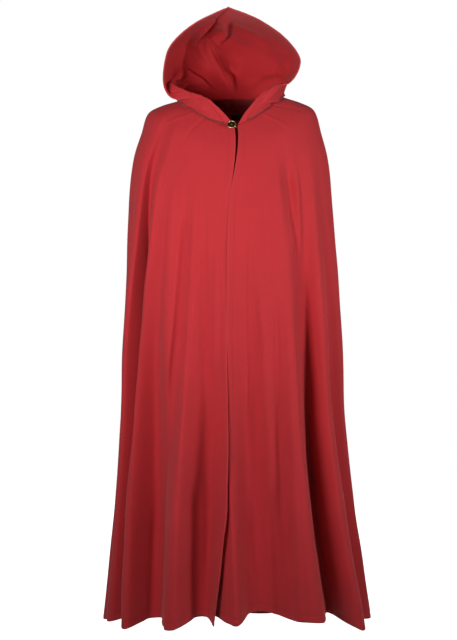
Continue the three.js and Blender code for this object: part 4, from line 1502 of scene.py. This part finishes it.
@dataclass
class Studio:
    """The camera at the photograph's angle, soft light from both sides in front, and a plain pale floor."""

    distance: float = 3.4
    view_height: float = 1.6
    aim: tuple[float, float, float] = (-0.0062, 0.0, -0.55)
    long_sensor: float = 24.0
    floor_z: float = -1.48
    floor_radius: float = 5.0
    floor_sides: int = 96

    def camera(self) -> None:
        """Places the camera, level with the middle of the cape."""
        data = bpy.data.cameras.new("camera")
        data.sensor_width = self.long_sensor
        data.lens = self.long_sensor * self.distance / self.view_height
        view = bpy.data.objects.new("camera", data)
        bpy.context.scene.collection.objects.link(view)
        view.location = (self.aim[0], -self.distance, self.aim[2])
        view.rotation_euler = (math.pi / 2, 0, 0)
        bpy.context.scene.camera = view

    def _lamp(self, name: str, at: tuple, to: tuple, size: float, watts: float) -> None:
        """Hangs a square soft lamp at one point, aimed at another."""
        data = bpy.data.lights.new(name, "AREA")
        data.size = size
        data.energy = watts
        lamp = bpy.data.objects.new(name, data)
        bpy.context.scene.collection.objects.link(lamp)
        lamp.location = at
        lamp.rotation_euler = (Vector(to) - Vector(at)).to_track_quat("-Z", "Y").to_euler()
        lamp.visible_camera = False

    def lights(self) -> None:
        """Lights the cape with two near lamps in front, a large one behind and a weak white surround."""
        self._lamp("key", at=(-0.56, -1.2, -0.22), to=(0, 0, -0.1), size=0.4, watts=13.5)
        self._lamp("fill", at=(1.2, -0.8, -0.25), to=(0.1, 0, -0.2), size=0.4, watts=10)
        self._lamp("rear", at=(0.4, 3.4, 0.2), to=(0, 0, -0.5), size=2.0, watts=24)
        world = bpy.context.scene.world = bpy.data.worlds.new("surround")
        world.use_nodes = True
        tree = world.node_tree
        tree.nodes.clear()
        way = add_node(tree, "TexCoord").outputs["Generated"]
        height = add_node(tree, "SeparateXYZ", None, Vector=way).outputs["Z"]
        strength = add_node(tree, "MapRange", None, Value=height, i1=-0.6, i2=0.8, i3=0.03, i4=0.1)
        soft = add_node(tree, "Background", None, Strength=strength.outputs[0])
        white = add_node(tree, "Background", None, Strength=1.0)
        for background in (soft, white):
            background.inputs["Color"].default_value = (1, 1, 1, 1)
        seen = add_node(tree, "LightPath").outputs["Is Camera Ray"]
        both = add_node(tree, "MixShader", None, Fac=seen, i1=soft.outputs[0], i2=white.outputs[0])
        add_node(tree, "OutputWorld", None, Surface=both.outputs[0])
        bpy.context.scene.view_settings.view_transform = "Standard"

    def floor(self) -> None:
        """Lays the floor where a wearer would stand, a hand's width below the hem."""
        turns = np.arange(self.floor_sides) * 2 * np.pi / self.floor_sides
        ring = np.stack([np.cos(turns), np.sin(turns), np.zeros(turns.shape)], -1) * self.floor_radius / MM
        ring[:, 2] = self.floor_z / MM
        floor = make_object("floor", ring, np.arange(self.floor_sides)[None])
        floor.data.materials.append(StudioPaper().make())
        floor.visible_diffuse = False


@dataclass(frozen=True)
class NeckTape:
    """The tape sewn over the neck seam inside, round both halves of the hood in one length."""

    low: float = 0.6
    high: float = 8.5
    clear: float = 0.05
    thick: float = 0.8
    rows: int = 12
    past_hem: float = 19.5
    stitch_gaps: tuple[float, float] = (1.8, 7.4)
    dent: float = 0.22
    dent_wide: float = 0.7

    def line(self, faces: dict[Side, Face], gap: float) -> tuple[Array, Array]:
        """A line along the whole tape, from the right edge to the left, and the way into the cape there."""
        parts = []
        for side, face in faces.items():
            points, normals = face.line("foot", gap, True)
            far = face.reach.start[:, 0] > self.past_hem
            parts.append((points[far], normals[far]))
        (right, right_out), (left, left_out) = parts
        return np.concatenate([right, left[-2::-1]]), np.concatenate([right_out, left_out[-2::-1]])

    def build(self, faces: dict[Side, Face]) -> bpy.types.Object:
        """Builds the tape on the two hood halves' faces."""
        gaps = np.linspace(self.low, self.high, self.rows)
        lines = [self.line(faces, gap) for gap in gaps]
        points, out = (np.stack([line[k] for line in lines], 1) for k in range(2))
        dents = sum(hump((gaps - gap) / self.dent_wide) for gap in self.stitch_gaps)
        rise = self.clear + self.thick - self.dent * dents
        cut = np.stack(np.broadcast_arrays(gone_along(points[:, 0])[:, None], gaps, 0.0), -1)
        face = points + out * rise[:, None]
        return shell("neck_tape_piece", face, points + out * self.clear, cut, np.zeros(face.shape[:2]))

    def stitches(self, faces: dict[Side, Face], stitching: Stitching) -> bpy.types.Object:
        """Sews the tape down along both its edges."""
        lines = []
        for gap in self.stitch_gaps:
            points, out = self.line(faces, gap)
            lines.append((points + out * (self.clear + self.thick - self.dent), out))
        return stitching.sew("neck_tape_stitches", lines)


@dataclass(frozen=True)
class BareLabel:
    """The small ribbon label sewn inside the left back, beside the centre seam. It is bare."""

    wide: float = 25.0
    high: float = 16.0
    aside: float = 1.0
    below: float = 66.0
    clear: float = 0.15
    thick: float = 0.5
    fold: float = 1.3
    fold_rise: float = 0.35
    bulge: float = 0.5
    bulge_in: float = 5.0
    steps: tuple[int, int] = (40, 28)
    stitch_in: float = 1.4

    def surface(self, face: Face, aside: Array, below: Array) -> tuple[Array, Array]:
        """Places inside the back at distances from the centre seam and below the neck, and the way in."""
        j = np.interp(below, face.reach.foot[-1], np.arange(face.reach.foot.shape[1]))
        points, normals, reach = (
            between(values, j) for values in (face.inside(), face.normals, face.reach.end[..., None])
        )
        columns = np.arange(len(reach))
        places, ways = [], []
        for k in range(len(j)):
            i = np.interp(aside[k], reach[::-1, k, 0], columns[::-1])
            places.append(read_along(i, columns, points[:, k]))
            ways.append(-read_along(i, columns, normals[:, k]))
        return np.array(places), unit(np.array(ways))

    def build(self, face: Face) -> bpy.types.Object:
        """Builds the label on the left back's face."""
        a, b = np.mgrid[0:self.wide:self.steps[0] * 1j, 0:self.high:self.steps[1] * 1j]
        places, ways = self.surface(face, a.ravel() + self.aside, b.ravel() + self.below)
        near = np.minimum.reduce([a, self.wide - a, b, self.high - b]).ravel()
        rise = self.clear + self.bulge * smooth(near / self.bulge_in) * (0.8 + 0.2 * np.sin(a.ravel() * 0.5))
        # the top fold bulges, and the same share paints it paler there as a painted highlight along the fold
        wear = hump(b / self.fold)
        outer = places + ways * (rise + self.thick + self.fold_rise * wear.ravel())[:, None]
        inner = places + ways * rise[:, None]
        shape = (*a.shape, 3)
        cut = np.stack([a, b, np.zeros(a.shape)], -1)
        return shell("bare_label", outer.reshape(shape), inner.reshape(shape), cut, wear)

    def stitches(self, face: Face, stitching: Stitching) -> bpy.types.Object:
        """Sews the label down along its top and its two ends."""
        lines = []
        inner, low = self.stitch_in, self.high - 1
        corners = ((inner, low), (inner, inner), (self.wide - inner, inner), (self.wide - inner, low))
        for (a0, b0), (a1, b1) in zip(corners, corners[1:]):
            t = np.linspace(0, 1, 20)
            places, ways = self.surface(face, mix(a0, a1, t) + self.aside, mix(b0, b1, t) + self.below)
            lines.append((places + ways * (self.clear + self.thick + 0.1), ways))
        return stitching.sew("label_stitches", lines)


@dataclass(frozen=True)
class Spot:
    """A place on the cloth with its own three ways: out of it, across it and up it."""

    foot: Array
    out: Array
    across: Array
    up: Array


@dataclass(frozen=True)
class CastButton:
    """A cast shank button: a rounded rim, a sunk well and a low boss. It leans back a little."""

    radius: float = 11.5
    rim: float = 2.4
    rise: float = 3.4
    well: float = 1.5
    slope: float = 1.6
    boss: float = 2.4
    boss_rise: float = 0.8
    bevel: float = 0.8
    shank: float = 1.6
    stand: float = 5.0
    lift: float = 0.6
    lean: float = 0.2
    aside: float = 0.7
    below: float = 5.0
    turns: int = 96
    arc_steps: int = 14

    def spot(self, face: Face) -> Spot:
        """Where the shank stands on the right front."""
        edge = face.points[:, 0]
        gone = gone_along(edge)
        i = np.array([np.interp(edge[0, 0] - self.aside, gone, np.arange(len(gone)))])
        grids = face.points, face.normals, face.reach.foot[..., None]
        line, ways, reach = (between(np.swapaxes(grid, 0, 1), i)[:, 0] for grid in grids)
        foot = read_along(self.below, reach[:, 0], line)
        out = unit(read_along(self.below, reach[:, 0], ways))
        across = unit(np.array([1.0, 0, 0]) - out * out[0])
        return Spot(foot=foot, out=out, across=across, up=np.cross(out, across))

    def profile(self) -> tuple[Array, Array]:
        """The section from the axis under the shank to the axis on the boss, and how rubbed each place is."""
        half = self.rim / 2
        well = self.stand + self.well
        arc = np.linspace(0, np.pi, self.arc_steps)
        round_x = self.radius - half + half * np.cos(arc)
        round_y = self.stand + self.rise - half + half * np.sin(arc)
        low = [(0, self.lift, 0.1), (self.shank, self.lift, 0.1), (self.shank, self.stand, 0.1),
               (self.radius - self.bevel, self.stand, 0.3)]
        rim = [(x, y, 0.55 + 0.45 * math.sin(a)) for x, y, a in zip(round_x, round_y, arc)]
        high = [(self.radius - self.rim, well, 0.05), (self.radius - self.rim - self.slope, well, 0.0),
                (self.boss + self.bevel, well, 0.0), (self.boss, well, 0.05),
                (self.boss - self.bevel, well + self.boss_rise, 0.45), (0, well + self.boss_rise, 0.5)]
        rows = np.array(low + rim + high)
        for _ in range(3):
            cut = np.stack([mix(rows[:-1], rows[1:], 0.25), mix(rows[:-1], rows[1:], 0.75)], 1).reshape(-1, 3)
            rows = np.concatenate([rows[:1], cut, rows[-1:]])
        return rows[:, :2], rows[:, 2]

    def build(self, spot: Spot) -> bpy.types.Object:
        """Turns the section round the button's leaning axis."""
        section, wear = self.profile()
        axis = spot.out * math.cos(self.lean) + spot.up * math.sin(self.lean)
        tilted_up = spot.up * math.cos(self.lean) - spot.out * math.sin(self.lean)
        angles = np.arange(self.turns) * 2 * np.pi / self.turns
        away = spot.across * np.cos(angles)[:, None] + tilted_up * np.sin(angles)[:, None]
        radius, height = section[1:-1, 0], section[1:-1, 1]
        rings = spot.foot + away[:, None] * radius[:, None] + axis * height[:, None]
        ends = spot.foot + axis * section[[0, -1], 1][:, None]
        rows = len(radius)
        ids = np.arange(self.turns * rows).reshape(self.turns, rows)
        after = np.roll(ids, -1, 0)
        sides = np.stack([ids[:, :-1], after[:, :-1], after[:, 1:], ids[:, 1:]], -1).reshape(-1, 4)
        foot, top = ids.size, ids.size + 1
        caps = [[foot, foot, b, a] for a, b in zip(ids[:, 0], after[:, 0])]
        caps += [[top, top, a, b] for a, b in zip(ids[:, -1], after[:, -1])]
        faces = [f.tolist() for f in sides] + [f[1:] for f in caps]
        return make_object("cast_button", np.concatenate([rings.reshape(-1, 3), ends]), faces,
                           wear=np.concatenate([np.tile(wear[1:-1], self.turns), wear[[0, -1]]]))


@dataclass(frozen=True)
class CordLoop:
    """The loop of twisted cord that leaves the left front's edge, passes round the shank and goes back."""

    radius: float = 0.9
    high: float = 2.7
    slack: float = 0.8
    leaves: float = 2.6
    returns: float = 9.0
    clear: float = 0.6
    twist: float = 3.4
    apart: float = 0.46
    strand: float = 0.56
    under: float = 0.8
    steps: int = 220
    sides: int = 8

    def route(self, button: CastButton, spot: Spot, edge: Array, edge_out: Array) -> Array:
        """The loop's middle line.

        Args:
            button: the button that it goes round.
            spot: where the button stands.
            edge: points down the left front's opening edge from the neck.
            edge_out: the way out of the cloth at each.

        Returns:
            Points along the line.
        """
        gone = gone_along(edge)

        def root(below: float) -> Array:
            """Where an end of the cord comes out of the edge."""
            inward = unit(read_along(below, gone, edge_out)) * CLOTH
            return read_along(below, gone, edge) - inward - spot.across * self.clear

        reach = button.radius * self.under
        r = button.shank + self.radius + self.slack
        over = spot.foot + spot.out * self.high
        turns = ((reach, 0.9 * r), (0.6 * r, r), (-0.7 * r, 0.8 * r), (-1.15 * r, 0), (-0.7 * r, -0.8 * r),
                 (0.6 * r, -r), (reach, -1.3 * r))
        near = [over + spot.across * x + spot.up * y for x, y in turns]
        return rounded_path(np.array([root(self.leaves), *near, root(self.returns)]), self.steps)

    def build(self, line: Array) -> bpy.types.Object:
        """Twists two strands round the loop's middle line."""
        side, up = ways_round(line)
        gone = gone_along(line)
        tubes = []
        for strand in range(2):
            phase = gone / self.twist * 2 * np.pi + strand * np.pi
            off = side * np.cos(phase)[:, None] + up * np.sin(phase)[:, None]
            middle = line + off * self.radius * self.apart
            tubes.append(sweep(middle, self.radius * self.strand, self.sides))
        return joined("cord_loop", tubes)


@dataclass(frozen=True)
class Fittings:
    """The button, its loop, the tape over the neck seam and the bare label."""

    tape: NeckTape = NeckTape()
    label: BareLabel = BareLabel()
    button: CastButton = CastButton()
    loop: CordLoop = CordLoop()
    sewing: Stitching = Stitching(pitch=3.2, long=2.6, thick=0.4)

    def tape_pieces(self, hoods: dict[Side, Face]) -> list[bpy.types.Object]:
        """Builds the tape and its stitches."""
        tape = self.tape.build(hoods)
        dress(tape, TwillTape().make(), "tape", "neck_tape")
        stitches = self.tape.stitches(hoods, self.sewing)
        dress(stitches, Yarn("tape_thread", "#9a3436", "#7a2426").make(), "tape")
        return [tape, stitches]

    def label_pieces(self, back: Face) -> list[bpy.types.Object]:
        """Builds the label and its stitches."""
        label = self.label.build(back)
        dress(label, SatinRibbon().make(), "label", "label")
        stitches = self.label.stitches(back, self.sewing)
        dress(stitches, Yarn("label_thread", "#4a4542", "#2c2927").make(), "label")
        return [label, stitches]

    def fasten(self, right: Face, left: Face) -> None:
        """Builds the button on the right front and the loop from the left one."""
        spot = self.button.spot(right)
        button = self.button.build(spot)
        dress(button, AntiqueBrass().make(), "antique_brass", "button")
        line = self.loop.route(self.button, spot, left.points[0], left.normals[0])
        loop = self.loop.build(line)
        dress(loop, Yarn("loop_cord", "#8a6a3e", "#4a3420").make(), "cord", "button_loop")
        for piece in (button, loop):
            log.info("%s: %d faces", piece.name, len(piece.data.polygons))


def dress(piece: bpy.types.Object, material: bpy.types.Material, slot: str, *nodes: str) -> None:
    """Gives a piece its material and its body, and hides the imported nodes that it stands for."""
    piece.data.materials.append(material)
    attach(piece, "root")
    if nodes:
        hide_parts(*nodes)


@dataclass
class Cape:
    """The whole cape."""

    cotton: WovenCotton = WovenCotton()
    thread: Yarn = Yarn("seam_thread", "#b02a34", "#8e1e27")
    stitching: Stitching = Stitching()
    fittings: Fittings = Fittings()

    def build(self) -> None:
        """Builds the body and the hood, sews their hems, and adds the fittings."""
        cotton, thread = self.cotton.make(), self.thread.make()
        kinds = (FrontPanel, BackPanel, HoodPanel)
        panels = {(kind.word, side): kind(side) for kind in kinds for side in Side}
        faces = {key: panel.face() for key, panel in panels.items()}
        extras = {
            ("hood", Side.RIGHT): self.fittings.tape_pieces({side: faces["hood", side] for side in Side}),
            ("back", Side.LEFT): self.fittings.label_pieces(faces["back", Side.LEFT]),
        }
        for key, panel in panels.items():
            piece = panel.build(faces[key])
            dress(piece, cotton, "cotton", f"{key[0]}_{panel.side.word}")
            stitches = panel.stitches(faces[key], self.stitching)
            dress(stitches, thread, "cotton")
            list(extras.get(key, []))
            area = sum(p.area for p in piece.data.polygons) / 2
            log.info("%s: %d faces, %.3f m2", piece.name, len(piece.data.polygons), area)
        self.fittings.fasten(faces["front", Side.RIGHT], faces["front", Side.LEFT])


def main() -> None:
    """Builds the scene: the studio first, then the cape."""
    logging.basicConfig(level=logging.INFO, format="%(message)s")
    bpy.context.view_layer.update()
    studio = Studio()
    studio.camera()
    studio.lights()
    studio.floor()
    Cape().build()


if __name__ == "__main__":
    main()
